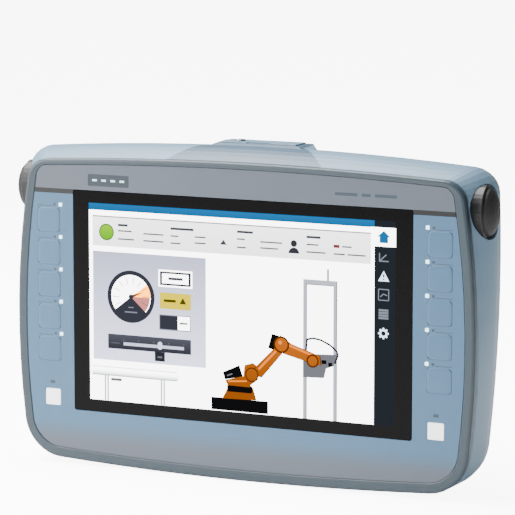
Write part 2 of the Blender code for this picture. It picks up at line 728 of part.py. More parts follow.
def housing_cutters():
    """Return every opening of the rear housing as separate cutters."""
    cavity = loft([
        (block_outline(2.8 * MM), SHELL_DEPTH - HOUSING_WALL - 3 * MM),
        (block_outline(4.2 * MM), REAR_DEPTH - REAR_WALL),
    ])
    rebate = rounded_rectangle(COVER_WIDTH + 2 * GAP, COVER_HEIGHT + 2 * GAP,
                               COVER_RADIUS + GAP, (0, COVER_Z))
    opening = rounded_rectangle(COVER_WIDTH - 2 * COVER_LEDGE, COVER_HEIGHT - 2 * COVER_LEDGE,
                                3 * MM, (0, COVER_Z))
    cutters = [
        cavity,
        prism(rebate, REAR_DEPTH - REBATE_DEPTH, REAR_DEPTH + 2 * MM),
        prism(opening, REAR_DEPTH - REAR_WALL - 1 * MM, REAR_DEPTH + 2 * MM),
        block((PORT_COVER_WIDTH + 2 * GAP, 2 * (2.2 * MM + GAP), PORT_COVER_HEIGHT + 2 * GAP),
              (PORT_COVER_X, REAR_DEPTH, PORT_COVER_Z)),
        block((13.6 * MM, 3 * REAR_WALL, 6.0 * MM), (PORT_COVER_X, REAR_DEPTH, PORT_COVER_Z)),
        block((60.6 * MM, 1.6 * MM, 20.6 * MM), (-30 * MM, REAR_DEPTH, -43 * MM)),
        aimed(turned([(6.4 * MM, 0), (6.4 * MM, 12 * MM)], 24), (0, 0, -1),
              (0, GLAND_DEPTH, BLOCK_BOTTOM + 8 * MM)),
        block((CAP_WIDTH + 2 * GAP, CAP_LENGTH + 2 * GAP, 2 * (CAP_THICKNESS - CAP_RAISE + GAP)),
              (0, CAP_Y, PLATEAU_Z)),
        aimed(turned([(CAP_SPIGOT_RADIUS + GAP, 0), (CAP_SPIGOT_RADIUS + GAP, 20 * MM)], 24),
              (0, 0, -1), (0, CAP_Y, PLATEAU_Z + 1 * MM)),
        aimed(turned([(SCREW_RADIUS + 0.1 * MM, 0), (SCREW_RADIUS + 0.1 * MM, 9 * MM)], 16),
              (0, 0, -1), (-13.5 * MM, CAP_Y - 2.5 * MM, PLATEAU_Z)),
    ]
    for _, side in SIDES:
        wall = [(y + BUTTON_DEPTH, z + BUTTON_Z) for y, z in button_ellipse(COLLAR_WALL + 2 * GAP)]
        cutters.append(along_x(wall, *sorted((side * 135 * MM, side * 160 * MM))))
    for x, z in housing_screw_places():
        cutters.append(aimed(turned([
            (SCREW_RADIUS + 0.3 * MM, 0), (SCREW_RADIUS + 0.3 * MM, 20 * MM),
        ], 12), (0, 1, 0), (x, SHELL_DEPTH - 14 * MM, z)))
        cutters.append(aimed(turned([
            (SCREW_HEAD_RADIUS + 0.3 * MM, 0), (SCREW_HEAD_RADIUS + 0.3 * MM, 6 * MM),
        ], 16), (0, 1, 0), (x, SHELL_DEPTH - SCREW_HEAD_HEIGHT - 0.8 * MM, z)))
    for x, z in cover_screw_places():
        cutters.append(aimed(turned([
            (SCREW_RADIUS + 0.1 * MM, 0), (SCREW_RADIUS + 0.1 * MM, 8 * MM),
        ], 12), (0, 1, 0), (x, REAR_DEPTH - 9 * MM, z)))
    return cutters


def cover_screw_places():
    """Return the (x, z) places of the four cover screws."""
    x = COVER_WIDTH / 2 - 5 * MM
    z = COVER_HEIGHT / 2 - 5 * MM
    return [(sx * x, COVER_Z + sz * z) for sx in (-1, 1) for sz in (-1, 1)]


def build_seal(parent, finish):
    """Build the gasket between bezel and housing."""
    seal = add("housing_seal", prism(grown(RIM_POINTS, -BEZEL_WALL - HOUSING_WALL + 2 * MM), 3.6 * MM,
                                     8.0 * MM), finish, parent)
    cut(seal, [prism(grown(RIM_POINTS, -BEZEL_WALL - HOUSING_WALL + 0.6 * MM), 0, 12 * MM)])


# ---------------------------------------------------------------- enabling buttons

def button_ellipse(outset):
    """Return the enabling button's outline in Y and Z, grown by an outset."""
    return ellipse(BUTTON_HALF_DEPTH + outset, BUTTON_HALF_HEIGHT + outset)


def build_enabling_buttons(parent, finishes):
    """Build each enabling button with its collar and its switch."""
    base = COLLAR_FACE_X - 7 * MM
    for name, side in SIDES:
        sections = [(button_ellipse(0.0), base)]
        for step in range(6):
            angle = math.radians(15.5 * step)
            scale = math.cos(angle)
            sections.append(([(y * scale, z * scale) for y, z in button_ellipse(0.0)],
                             COLLAR_FACE_X + BUTTON_DOME * math.sin(angle)))
        dome = side_loft(sections, side)
        button = add(f"enabling_button_{name}", dome, finishes["rubber"], parent,
                     (side * COLLAR_FACE_X, BUTTON_DEPTH, BUTTON_Z))
        shaft_end = SWITCH_FACE_X + BUTTON_TRAVEL + GAP
        fuse(button, [aimed(turned([(3 * MM, 0), (3 * MM, base + 2 * MM - shaft_end)], 16),
                            (side, 0, 0), (side * shaft_end, BUTTON_DEPTH, BUTTON_Z))], "shaft")
        collar = add(f"enabling_collar_{name}",
                     side_loft([(button_ellipse(COLLAR_WALL + GAP), base),
                                (button_ellipse(COLLAR_WALL + GAP), COLLAR_FACE_X - 0.5 * MM),
                                (button_ellipse(COLLAR_WALL - 0.2 * MM), COLLAR_FACE_X)], side),
                     finishes["dark"], parent)
        cut(collar, [side_loft([(button_ellipse(GAP), base - 2 * MM),
                                (button_ellipse(GAP), COLLAR_FACE_X + 2 * MM)], side)])
        switch = add(f"enabling_switch_{name}",
                     block((20 * MM, 14 * MM, 24 * MM),
                           (side * (SWITCH_FACE_X - 10 * MM), BUTTON_DEPTH, BUTTON_Z), 0.6 * MM),
                     finishes["plastic"], parent)
        fuse(switch, [block((12 * MM, 16 * MM, 2 * MM),
                            (side * (SWITCH_FACE_X - 12 * MM), BUTTON_DEPTH, BUTTON_Z + sz * 8 * MM))
                      for sz in (-1, 1)], "ribs")


def side_loft(sections, side):
    """Return a loft along X, mirrored for the left side, at the button's place."""
    mesh = loft([(points, side * depth) for points, depth in sections])
    mesh.transform(Matrix(((0, 1, 0, 0), (1, 0, 0, BUTTON_DEPTH), (0, 0, 1, BUTTON_Z),
                           (0, 0, 0, 1))))
    bmesh.ops.recalc_face_normals(mesh, faces=mesh.faces)
    return mesh


# ---------------------------------------------------------------- caps, covers, cable inlet

def screw(name, place, axis, length, parent, finish):
    """Build a screw with a slotted head whose top is at a place, pointing along an axis."""
    mesh = turned([(SCREW_HEAD_RADIUS - 0.3 * MM, 0), (SCREW_HEAD_RADIUS, 0.3 * MM),
                   (SCREW_HEAD_RADIUS, SCREW_HEAD_HEIGHT), (SCREW_RADIUS, SCREW_HEAD_HEIGHT),
                   (SCREW_RADIUS, length)], 12)
    item = add(name, aimed(mesh, axis, place), finish, parent)
    slot = block((0.8 * MM, 8 * MM, 1.6 * MM), (0, 0, 0))
    cut(item, [aimed(slot, axis, place)], "slot")


def build_cap(parent, finishes):
    """Build the blanking cap on the pedestal with its screw."""
    top = PLATEAU_Z + CAP_RAISE
    cap = add("blanking_cap", block((CAP_WIDTH, CAP_LENGTH, CAP_THICKNESS),
                                    (0, CAP_Y, top - CAP_THICKNESS / 2), 0.5 * MM),
              finishes["shell"], parent)
    fuse(cap, [aimed(turned([(CAP_SPIGOT_RADIUS, 0), (CAP_SPIGOT_RADIUS, 9 * MM)], 24),
                     (0, 0, -1), (0, CAP_Y, top - 1 * MM))], "spigot")
    screw_place = (-13.5 * MM, CAP_Y - 2.5 * MM, top)
    cut(cap, [
        block((15 * MM, 2 * MM, 1.4 * MM), (0, CAP_Y - CAP_LENGTH / 2, top)),
        aimed(turned([(SCREW_HEAD_RADIUS + GAP, 0), (SCREW_HEAD_RADIUS + GAP, 1.4 * MM)], 20),
              (0, 0, 1), (screw_place[0], screw_place[1], top - 1.3 * MM)),
        aimed(turned([(SCREW_RADIUS + 0.2 * MM, 0), (SCREW_RADIUS + 0.2 * MM, 8 * MM)], 16),
              (0, 0, -1), (screw_place[0], screw_place[1], top)),
    ])
    screw("cap_screw", (screw_place[0], screw_place[1], top + 1.0 * MM), (0, 0, -1), 7 * MM,
          parent, finishes["screw"])


def build_cover(parent, finishes):
    """Build the connection cover, its seal and its screws."""
    outline = rounded_rectangle(COVER_WIDTH, COVER_HEIGHT, COVER_RADIUS, (0, COVER_Z))
    back = REAR_DEPTH
    cover = add("connection_cover",
                loft([(outline, back - COVER_THICKNESS), (outline, back - 0.4 * MM),
                      (grown(outline, -0.4 * MM), back)]), finishes["shell"], parent)
    holes = []
    for x, z in cover_screw_places():
        holes.append(aimed(turned([(SCREW_HEAD_RADIUS + GAP, 0), (SCREW_HEAD_RADIUS + GAP, 4 * MM)],
                                  16), (0, 1, 0), (x, back - 2.4 * MM, z)))
        holes.append(aimed(turned([(SCREW_RADIUS + 0.2 * MM, 0), (SCREW_RADIUS + 0.2 * MM, 6 * MM)],
                                  12), (0, 1, 0), (x, back - 5 * MM, z)))
    cut(cover, holes)
    opening_width = COVER_WIDTH - 2 * COVER_LEDGE
    opening_height = COVER_HEIGHT - 2 * COVER_LEDGE
    ring = rounded_rectangle(opening_width + 5.6 * MM, opening_height + 5.6 * MM, 5 * MM,
                             (0, COVER_Z))
    front = back - REBATE_DEPTH + GAP
    seal = add("cover_seal", prism(ring, front, front + COVER_SEAL - GAP), finishes["rubber"],
               parent)
    hole = rounded_rectangle(opening_width + 1.2 * MM, opening_height + 1.2 * MM, 3 * MM,
                             (0, COVER_Z))
    cut(seal, [prism(hole, front - 2 * MM, back)])
    for number, (x, z) in enumerate(cover_screw_places(), 1):
        screw(f"cover_screw_{number}", (x, back - 0.2 * MM, z), (0, -1, 0), 6.5 * MM, parent,
              finishes["screw"])


def build_cable_inlet(parent, finishes):
    """Build the cable gland under the rear block: body, locknut, sealing insert and cap nut."""
    wall_low = BLOCK_BOTTOM
    wall_high = BLOCK_BOTTOM + 4.4 * MM

    def gland(name, profile, steps, finish):
        add(name, aimed(turned(profile, steps, True), (0, 0, -1), (0, GLAND_DEPTH, wall_low)),
            finish, parent)

    inner = -(wall_high - wall_low) - 4.5 * MM
    gland("cable_gland_body", ring_profile(GLAND_BORE + 0.8 * MM, [
        (6.0 * MM, inner), (6.0 * MM, GAP), (GLAND_RADIUS, GAP), (GLAND_RADIUS, 5 * MM),
        (6.6 * MM, 5 * MM), (6.6 * MM, 9.5 * MM)]), 24, finishes["dark"])
    gland("cable_gland_locknut", ring_profile(6.3 * MM, [
        (7.3 * MM, inner + 0.8 * MM), (7.3 * MM, inner + 3.8 * MM)]), 6 * 4, finishes["dark"])
    gland("cable_gland_insert", ring_profile(GLAND_BORE, [
        (6.4 * MM, 9.8 * MM), (6.4 * MM, 13.2 * MM)]), 24, finishes["rubber"])
    gland("cable_gland_nut", ring_profile(6.9 * MM, [
        (GLAND_RADIUS, 5.3 * MM), (GLAND_RADIUS, 11 * MM), (GLAND_RADIUS - 0.8 * MM, 13.5 * MM)]),
        24, finishes["dark"])


def ring_profile(bore, outer):
    """Return a hollow ring's profile from a bore radius and an outer (radius, height) path."""
    return [(bore, outer[0][1])] + outer + [(bore, outer[-1][1])]


def build_port(parent, finishes):
    """Build the service port's hinged cover and its socket."""
    low = PORT_COVER_Z - PORT_COVER_HEIGHT / 2
    thickness = 2.2 * MM
    cover = add("port_cover", block((PORT_COVER_WIDTH, thickness, PORT_COVER_HEIGHT),
                                    (PORT_COVER_X, REAR_DEPTH - thickness / 2, PORT_COVER_Z)),
                finishes["rubber"], parent, (PORT_COVER_X, REAR_DEPTH, low))
    cut(cover, [block((8 * MM, 1.2 * MM, 1.6 * MM),
                      (PORT_COVER_X, REAR_DEPTH, low + PORT_COVER_HEIGHT - 2.4 * MM))])
    front = REAR_DEPTH - REAR_WALL - 9 * MM
    socket = add("service_socket", block((13 * MM, 12 * MM, 5.4 * MM),
                                         (PORT_COVER_X, front + 6 * MM, PORT_COVER_Z)),
                 finishes["steel"], parent)
    cut(socket, [block((11.6 * MM, 16 * MM, 4.0 * MM),
                       (PORT_COVER_X, front + 10 * MM, PORT_COVER_Z))])


def build_connections(parent, finishes):
    """Build the connection board, terminal block and flat cable behind the cover."""
    depth = SHELL_DEPTH - 3 * MM
    add("connection_board", block((78 * MM, BOARD_THICKNESS, 46 * MM),
                                  (0, depth + BOARD_THICKNESS / 2, COVER_Z)),
        finishes["board"], parent)
    back = depth + BOARD_THICKNESS + GAP
    terminal = add("terminal_block", block((50 * MM, 9 * MM, 10 * MM),
                                           (0, back + 4.5 * MM, COVER_Z - 14 * MM), 0.5 * MM),
                   finishes["green"], parent)
    cut(terminal, [block((3.2 * MM, 3.2 * MM, 8 * MM),
                         (index * 6 * MM, back + 5 * MM, COVER_Z - 19 * MM))
                   for index in range(-3, 4)])
    start = MAIN_BOARD_DEPTH + BOARD_THICKNESS + 6 * MM + GAP
    add("flat_cable", block((18 * MM, depth - start - GAP, 0.6 * MM),
                            (30 * MM, (depth + start) / 2, COVER_Z + 15 * MM)),
        finishes["cable"], parent)


def build_rating_plate(parent, finish):
    """Build the rating plate in its shallow recess on the rear."""
    add("rating_plate", block((60 * MM, 0.4 * MM, 20 * MM), (-30 * MM, REAR_DEPTH - 0.3 * MM,
                                                             -43 * MM)), finish, parent)


def build_housing_screws(parent, finish):
    """Build the six screws that draw the housing onto the bezel."""
    for number, (x, z) in enumerate(housing_screw_places(), 1):
        screw(f"housing_screw_{number}", (x, SHELL_DEPTH - 0.5 * MM, z), (0, -1, 0), 37 * MM,
              parent, finish)


def build_finishes():
    """Return the materials, by name."""
    return {
        "rim": material("rim_paint", (0.16, 0.20, 0.25), 0.45),
        "shell": material("shell_paint", (0.34, 0.41, 0.49), 0.42),
        "foil": material("foil_print", (0.27, 0.41, 0.50), 0.38),
        "key": material("key_membrane", (0.26, 0.40, 0.49), 0.36),
        "glass": material("surround_glass", (0.01, 0.01, 0.012), 0.12),
        "lens": material("label_lens", (0.85, 0.87, 0.92), 0.2),
        "white": material("label_card", (0.85, 0.87, 0.92), 0.5),
        "guide": material("lamp_guide_clear", (0.80, 0.90, 0.95), 0.25),
        "rubber": material("black_rubber", (0.012, 0.012, 0.014), 0.6),
        "dark": material("dark_plastic", (0.05, 0.055, 0.065), 0.5),
        "plastic": material("switch_plastic", (0.10, 0.10, 0.11), 0.45),
        "steel": material("sheet_steel", (0.55, 0.57, 0.6), 0.35, 1.0),
        "screw": material("screw_steel", (0.5, 0.52, 0.55), 0.3, 1.0),
        "board": material("circuit_board", (0.02, 0.14, 0.06), 0.5),
        "green": material("terminal_green", (0.03, 0.25, 0.10), 0.45),
        "cable": material("flat_cable_grey", (0.4, 0.41, 0.43), 0.5),
        "plate": material("rating_card", (0.6, 0.62, 0.64), 0.4),
    }


def main():
    """Build the panel, standing on the ground over the world origin."""
    clear_scene()
    finishes = build_finishes()
    panel = bpy.data.objects.new("panel_frame", None)
    bpy.context.scene.collection.objects.link(panel)
    panel.location = (0, -REAR_DEPTH / 2, -RIM_BOTTOM)
    build_bezel(panel, finishes["rim"])
    build_foil(panel, finishes["foil"])
    build_keys(panel, finishes["key"])
    build_lamp_guides(panel, finishes["guide"])
    build_labels(panel, finishes["lens"], finishes["white"])
    build_display(panel, finishes)
    build_boards(panel, finishes)
    build_housing(panel, finishes["shell"])
    build_seal(panel, finishes["dark"])
    build_enabling_buttons(panel, finishes)
    build_cap(panel, finishes)
    build_cover(panel, finishes)
    build_cable_inlet(panel, finishes)
    build_port(panel, finishes)
    build_connections(panel, finishes)
    build_rating_plate(panel, finishes["plate"])
    build_housing_screws(panel, finishes["screw"])


main()
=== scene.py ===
"""Looks for a hand-held touch panel, laid out as a Blender add-on and run as a script."""

import math

import bmesh
import bpy
from bpy.props import FloatProperty, FloatVectorProperty, IntProperty, PointerProperty
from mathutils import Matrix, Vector


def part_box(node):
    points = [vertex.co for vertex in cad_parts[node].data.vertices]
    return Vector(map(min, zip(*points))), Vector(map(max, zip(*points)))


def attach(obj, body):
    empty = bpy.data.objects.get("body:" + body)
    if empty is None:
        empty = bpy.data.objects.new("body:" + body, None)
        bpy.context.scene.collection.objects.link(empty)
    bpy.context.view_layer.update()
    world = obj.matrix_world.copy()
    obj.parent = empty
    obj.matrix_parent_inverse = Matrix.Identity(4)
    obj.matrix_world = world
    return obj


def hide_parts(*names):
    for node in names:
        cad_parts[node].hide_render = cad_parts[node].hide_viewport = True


bl_info = {
    "name": "Hand-held Touch Panel",
    "version": (1, 0, 0),
    "blender": (4, 5, 0),
    "location": "3D View > Sidebar > Touch Panel",
    "description": "Finishes, screen picture, keys and studio for a hand-held touch panel",
    "category": "Object",
}

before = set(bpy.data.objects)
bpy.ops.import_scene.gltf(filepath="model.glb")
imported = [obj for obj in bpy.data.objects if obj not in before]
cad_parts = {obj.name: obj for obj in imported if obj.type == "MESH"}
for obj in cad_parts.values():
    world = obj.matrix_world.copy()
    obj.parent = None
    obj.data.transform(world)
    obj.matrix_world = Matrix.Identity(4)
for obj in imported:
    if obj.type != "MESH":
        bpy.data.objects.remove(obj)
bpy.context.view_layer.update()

MM = 0.001
BODY = "panel"
GLASS_LOW, GLASS_HIGH = (Vector(corner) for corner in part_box("touch_glass"))
FOIL_LOW, FOIL_HIGH = (Vector(corner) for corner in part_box("front_foil"))
SCREEN_Z = (GLASS_LOW.z + GLASS_HIGH.z) / 2
LEAF = 0.02 * MM
VIEW_MIDDLE = 0.22
VIEW_SLOPE = 1.24
VIEW_PUSH = 1.12
VIEW_LIMIT = 0.965
LIGHT_LEVEL = 3.2
GLOW_LEVEL = 8.0


def shown(red, green, blue):
    """Return the light that the default view shows as these display values of 0 to 255."""
    light = []
    for value in (red, green, blue):
        share = min(value / 255, VIEW_LIMIT)
        light.append(VIEW_MIDDLE * (share / (1 - share)) ** VIEW_SLOPE)
    middle = sum(light) / 3
    return [max(0.0, middle + VIEW_PUSH * (part - middle)) for part in light]


def tone(red, green, blue):
    """Return a surface colour that looks like these display values in the studio's light."""
    return tuple(min(0.95, part / LIGHT_LEVEL) for part in shown(red, green, blue))


def hue(red, green, blue):
    """Return a glowing colour that looks like these display values."""
    return tuple(min(1.0, part / GLOW_LEVEL) for part in shown(red, green, blue))


# ---------------------------------------------------------------- settings

def colour_property(name, description, default):
    """Return a colour property."""
    return FloatVectorProperty(name=name, description=description, subtype="COLOR", size=3,
                               min=0.0, max=1.0, default=default)


class TouchPanelFinishes(bpy.types.PropertyGroup):
    """Colours and surface values of the panel's outside."""

    housing: colour_property("Housing", "Colour of the rear housing", tone(160, 180, 192))
    bezel: colour_property("Bezel", "Colour of the front rim", tone(82, 102, 114))
    film: colour_property("Film", "Colour of the key fields", tone(120, 158, 180))
    band: colour_property("Band", "Colour of the silver bands", tone(136, 144, 154))
    surround: colour_property("Surround", "Colour of the display surround", tone(16, 14, 15))
    rubber: colour_property("Rubber", "Colour of the enabling buttons", tone(12, 10, 12))
    badge: colour_property("Badge", "Colour of the plain badge", tone(66, 80, 96))
    grain: FloatProperty(name="Grain", description="Depth of the moulded grain", min=0.0, max=1.0,
                         default=0.22)
    shell_roughness: FloatProperty(name="Shell roughness", description="Roughness of the mouldings",
                                   min=0.0, max=1.0, default=0.42)


class TouchPanelPicture(bpy.types.PropertyGroup):
    """Brightness and colours of the picture on the display."""

    glow: FloatProperty(name="Glow", description="Brightness of the display", min=0.0, max=20.0,
                        default=GLOW_LEVEL)
    title: colour_property("Title bar", "Colour of the title bar", (0.0012, 0.031, 0.083))
    menu: colour_property("Menu", "Colour of the side menu", hue(36, 41, 48))
    paper: colour_property("Paper", "Colour of the picture's background", hue(243, 243, 243))
    machine: colour_property("Machine", "Colour of the drawn robot arm", (0.115, 0.027, 0.0015))
    warning: colour_property("Warning", "Colour of the warning field", (0.2, 0.16, 0.0))


class TouchPanelStudio(bpy.types.PropertyGroup):
    """Camera and light."""

    azimuth: FloatProperty(name="Azimuth", description="Camera's turn from the front", unit="ROTATION",
                           default=math.radians(25.26))
    elevation: FloatProperty(name="Elevation", description="Camera's height above the horizon",
                             unit="ROTATION", default=math.radians(8.37))
    distance: FloatProperty(name="Distance", description="Camera's distance", unit="LENGTH",
                            min=0.1, default=1.793)
    lens: FloatProperty(name="Lens", description="Camera's focal length in millimetres", min=10.0,
                        default=219.2)
    aim: FloatVectorProperty(name="Aim", description="Point the camera looks at", subtype="XYZ",
                             unit="LENGTH", size=3,
                             default=(0.012, FOIL_LOW.y - 0.0004, SCREEN_Z + 0.0329))
    key_power: FloatProperty(name="Key light", description="Power of the front light", unit="POWER",
                             min=0.0, default=30.0)
    top_power: FloatProperty(name="Top light", description="Power of the light overhead",
                             unit="POWER", min=0.0, default=58.0)
    fill_power: FloatProperty(name="Fill light", description="Power of the right side light",
                              unit="POWER", min=0.0, default=0.5)


class TouchPanelDetail(bpy.types.PropertyGroup):
    """Sizes of the visual detail."""

    key_rise: FloatProperty(name="Key rise", description="Height of a key's crown above the film",
                            unit="LENGTH", min=0.0, default=0.16 * MM)
    key_steps: IntProperty(name="Key steps", description="Rings in a key's crown", min=2, default=5)


# ---------------------------------------------------------------- shader groups

def group_socket(group, name, kind, default=None, output=False):
    """Add a socket to a shader group."""
    made = group.interface.new_socket(name=name, in_out="OUTPUT" if output else "INPUT",
                                      socket_type=kind)
    if default is not None:
        made.default_value = default
    return made


def add_node(tree, kind, **values):
    """Add a node and set its plain properties."""
    node = tree.nodes.new(kind)
    for name, value in values.items():
        setattr(node, name, value)
    return node


def math_node(tree, operation, first, second=None):
    """Add a math node fed by sockets or numbers and return its output."""
    node = add_node(tree, "ShaderNodeMath", operation=operation)
    for index, value in enumerate((first, second)):
        if value is None:
            continue
        if isinstance(value, bpy.types.NodeSocket):
            tree.links.new(value, node.inputs[index])
        else:
            node.inputs[index].default_value = value
    return node.outputs[0]


def mix_colour(tree, share, first, second, blend="MIX"):
    """Add a colour mix and return its output."""
    node = add_node(tree, "ShaderNodeMix", data_type="RGBA", blend_type=blend)
    for socket, value in ((node.inputs[0], share), (node.inputs[6], first), (node.inputs[7], second)):
        if isinstance(value, bpy.types.NodeSocket):
            tree.links.new(value, socket)
        elif isinstance(value, (int, float)):
            socket.default_value = value
        else:
            socket.default_value = (*value[:3], 1.0)
    return node.outputs[2]


def ramp(tree, value, low, high, low_out=0.0, high_out=1.0):
    """Map a value smoothly from one range to another."""
    node = add_node(tree, "ShaderNodeMapRange", interpolation_type="SMOOTHSTEP")
    tree.links.new(value, node.inputs["Value"])
    for name, number in (("From Min", low), ("From Max", high), ("To Min", low_out), ("To Max", high_out)):
        node.inputs[name].default_value = number
    return node.outputs["Result"]


def noise(tree, vector, scale, detail=3.0, roughness=0.55):
    """Add a noise texture and return its value."""
    node = add_node(tree, "ShaderNodeTexNoise")
    node.inputs["Detail"].default_value = detail
    node.inputs["Roughness"].default_value = roughness
    tree.links.new(vector, node.inputs["Vector"])
    if isinstance(scale, bpy.types.NodeSocket):
        tree.links.new(scale, node.inputs["Scale"])
    else:
        node.inputs["Scale"].default_value = scale
    return node.outputs[0]


def new_group(name):
    """Return a new shader group with its input, output and object coordinates."""
    group = bpy.data.node_groups.new(name, "ShaderNodeTree")
    start = group.nodes.new("NodeGroupInput")
    end = group.nodes.new("NodeGroupOutput")
    place = group.nodes.new("ShaderNodeTexCoord").outputs["Object"]
    return group, start, end, place


def moulded_group():
    """Build the moulded plastic effect: spark-eroded grain, mottling and handling sheen."""
    group, start, end, place = new_group("Moulded Surface")
    group_socket(group, "Colour", "NodeSocketColor", (0.5, 0.5, 0.5, 1.0))
    group_socket(group, "Roughness", "NodeSocketFloat", 0.45)
    group_socket(group, "Grain Scale", "NodeSocketFloat", 2600.0)
    group_socket(group, "Mottle", "NodeSocketFloat", 0.05)
    group_socket(group, "Colour", "NodeSocketColor", output=True)
    group_socket(group, "Roughness", "NodeSocketFloat", output=True)
    group_socket(group, "Height", "NodeSocketFloat", output=True)
    grain = noise(group, place, start.outputs["Grain Scale"], 2.0)
    cloud = noise(group, place, 28.0, 4.0)
    wipe = noise(group, place, 9.0, 2.0)
    spread = math_node(group, "SUBTRACT", cloud, 0.5)
    shift = math_node(group, "MULTIPLY", spread, start.outputs["Mottle"])
    speck = math_node(group, "MULTIPLY", math_node(group, "SUBTRACT", grain, 0.5), 0.05)
    level = math_node(group, "ADD", math_node(group, "ADD", shift, speck), 1.0)
    scaled = add_node(group, "ShaderNodeVectorMath", operation="SCALE")
    group.links.new(start.outputs["Colour"], scaled.inputs[0])
    group.links.new(level, scaled.inputs["Scale"])
    group.links.new(scaled.outputs[0], end.inputs["Colour"])
    sheen = math_node(group, "MULTIPLY", math_node(group, "SUBTRACT", wipe, 0.5), 0.16)
    group.links.new(math_node(group, "ADD", start.outputs["Roughness"], sheen),
                    end.inputs["Roughness"])
    group.links.new(grain, end.inputs["Height"])
    return group


def brushed_group():
    """Build the brushed effect: fine lines drawn along X."""
    group, start, end, place = new_group("Brushed Lines")
    group_socket(group, "Colour", "NodeSocketColor", (0.5, 0.5, 0.5, 1.0))
    group_socket(group, "Line Scale", "NodeSocketFloat", 900.0)
    group_socket(group, "Contrast", "NodeSocketFloat", 0.2)
    group_socket(group, "Colour", "NodeSocketColor", output=True)
    group_socket(group, "Roughness", "NodeSocketFloat", output=True)
    group_socket(group, "Height", "NodeSocketFloat", output=True)
    stretch = add_node(group, "ShaderNodeMapping")
    stretch.inputs["Scale"].default_value = (0.02, 1.0, 1.0)
    group.links.new(place, stretch.inputs["Vector"])
    lines = noise(group, stretch.outputs[0], start.outputs["Line Scale"], 3.0, 0.7)
    centred = math_node(group, "SUBTRACT", lines, 0.5)
    level = math_node(group, "ADD", math_node(group, "MULTIPLY", centred, start.outputs["Contrast"]),
                      1.0)
    scaled = add_node(group, "ShaderNodeVectorMath", operation="SCALE")
    group.links.new(start.outputs["Colour"], scaled.inputs[0])
    group.links.new(level, scaled.inputs["Scale"])
    group.links.new(scaled.outputs[0], end.inputs["Colour"])
    group.links.new(math_node(group, "ADD", math_node(group, "MULTIPLY", centred, 0.3), 0.36),
                    end.inputs["Roughness"])
    group.links.new(lines, end.inputs["Height"])
    return group


def glow_group():
    """Build the display effect: a colour that fades with height, on a fine cell pattern."""
    group, start, end, place = new_group("Display Glow")
    group_socket(group, "Upper Colour", "NodeSocketColor", (1.0, 1.0, 1.0, 1.0))
    group_socket(group, "Lower Colour", "NodeSocketColor", (1.0, 1.0, 1.0, 1.0))
    group_socket(group, "Low", "NodeSocketFloat", 0.0)
    group_socket(group, "High", "NodeSocketFloat", 1.0)
    group_socket(group, "Colour", "NodeSocketColor", output=True)
    split = add_node(group, "ShaderNodeSeparateXYZ")
    group.links.new(place, split.inputs[0])
    fade = add_node(group, "ShaderNodeMapRange", interpolation_type="LINEAR")
    group.links.new(split.outputs["Z"], fade.inputs["Value"])
    group.links.new(start.outputs["Low"], fade.inputs["From Min"])
    group.links.new(start.outputs["High"], fade.inputs["From Max"])
    blended = mix_colour(group, fade.outputs["Result"], start.outputs["Lower Colour"],
                         start.outputs["Upper Colour"])
    cells = add_node(group, "ShaderNodeTexChecker")
    cells.inputs["Scale"].default_value = 4100.0
    group.links.new(place, cells.inputs["Vector"])
    level = ramp(group, cells.outputs["Fac"], 0.0, 1.0, 0.985, 1.0)
    scaled = add_node(group, "ShaderNodeVectorMath", operation="SCALE")
    group.links.new(blended, scaled.inputs[0])
    group.links.new(level, scaled.inputs["Scale"])
    group.links.new(scaled.outputs[0], end.inputs["Colour"])
    return group


GROUPS = {}


def shared_group(name):
    """Return a shared shader group, building it once."""
    builders = {"moulded": moulded_group, "brushed": brushed_group, "glow": glow_group}
    if name not in GROUPS:
        GROUPS[name] = builders[name]()
    return GROUPS[name]


# ---------------------------------------------------------------- materials

def principled(name):
    """Return a new material's tree and its Principled shader."""
    made = bpy.data.materials.new(name)
    made.use_nodes = True
    return made, made.node_tree, made.node_tree.nodes["Principled BSDF"]


def place_group(tree, name, **values):
    """Place a shared group in a material and set its inputs."""
    node = add_node(tree, "ShaderNodeGroup", node_tree=shared_group(name))
    for key, value in values.items():
        socket = node.inputs[key.replace("_", " ")]
        socket.default_value = (*value[:3], 1.0) if isinstance(value, (tuple, list)) else value
    return node


def add_bump(tree, shader, height, strength, distance=0.00005):
    """Drive the shader's normal from a height."""
    bump = add_node(tree, "ShaderNodeBump")
    bump.inputs["Strength"].default_value = strength
    bump.inputs["Distance"].default_value = distance
    tree.links.new(height, bump.inputs["Height"])
    tree.links.new(bump.outputs[0], shader.inputs["Normal"])


def moulded(name, colour, roughness, grain=0.3, scale=2600.0, mottle=0.05, coat=0.0):
    """Return a moulded plastic, rubber or lacquer material."""
    made, tree, shader = principled(name)
    node = place_group(tree, "moulded", Colour=tuple(colour), Roughness=roughness,
                       Grain_Scale=scale, Mottle=mottle)
    tree.links.new(node.outputs["Colour"], shader.inputs["Base Color"])
    tree.links.new(node.outputs["Roughness"], shader.inputs["Roughness"])
    add_bump(tree, shader, node.outputs["Height"], grain)
    shader.inputs["Coat Weight"].default_value = coat
    shader.inputs["Coat Roughness"].default_value = 0.2
    return made


def brushed(name, colour, contrast=0.25, scale=900.0):
    """Return a brushed metal material."""
    made, tree, shader = principled(name)
    node = place_group(tree, "brushed", Colour=tuple(colour), Line_Scale=scale, Contrast=contrast)
    tree.links.new(node.outputs["Colour"], shader.inputs["Base Color"])
    tree.links.new(node.outputs["Roughness"], shader.inputs["Roughness"])
    add_bump(tree, shader, node.outputs["Height"], 0.15, 0.00002)
    shader.inputs["Metallic"].default_value = 1.0
    return made


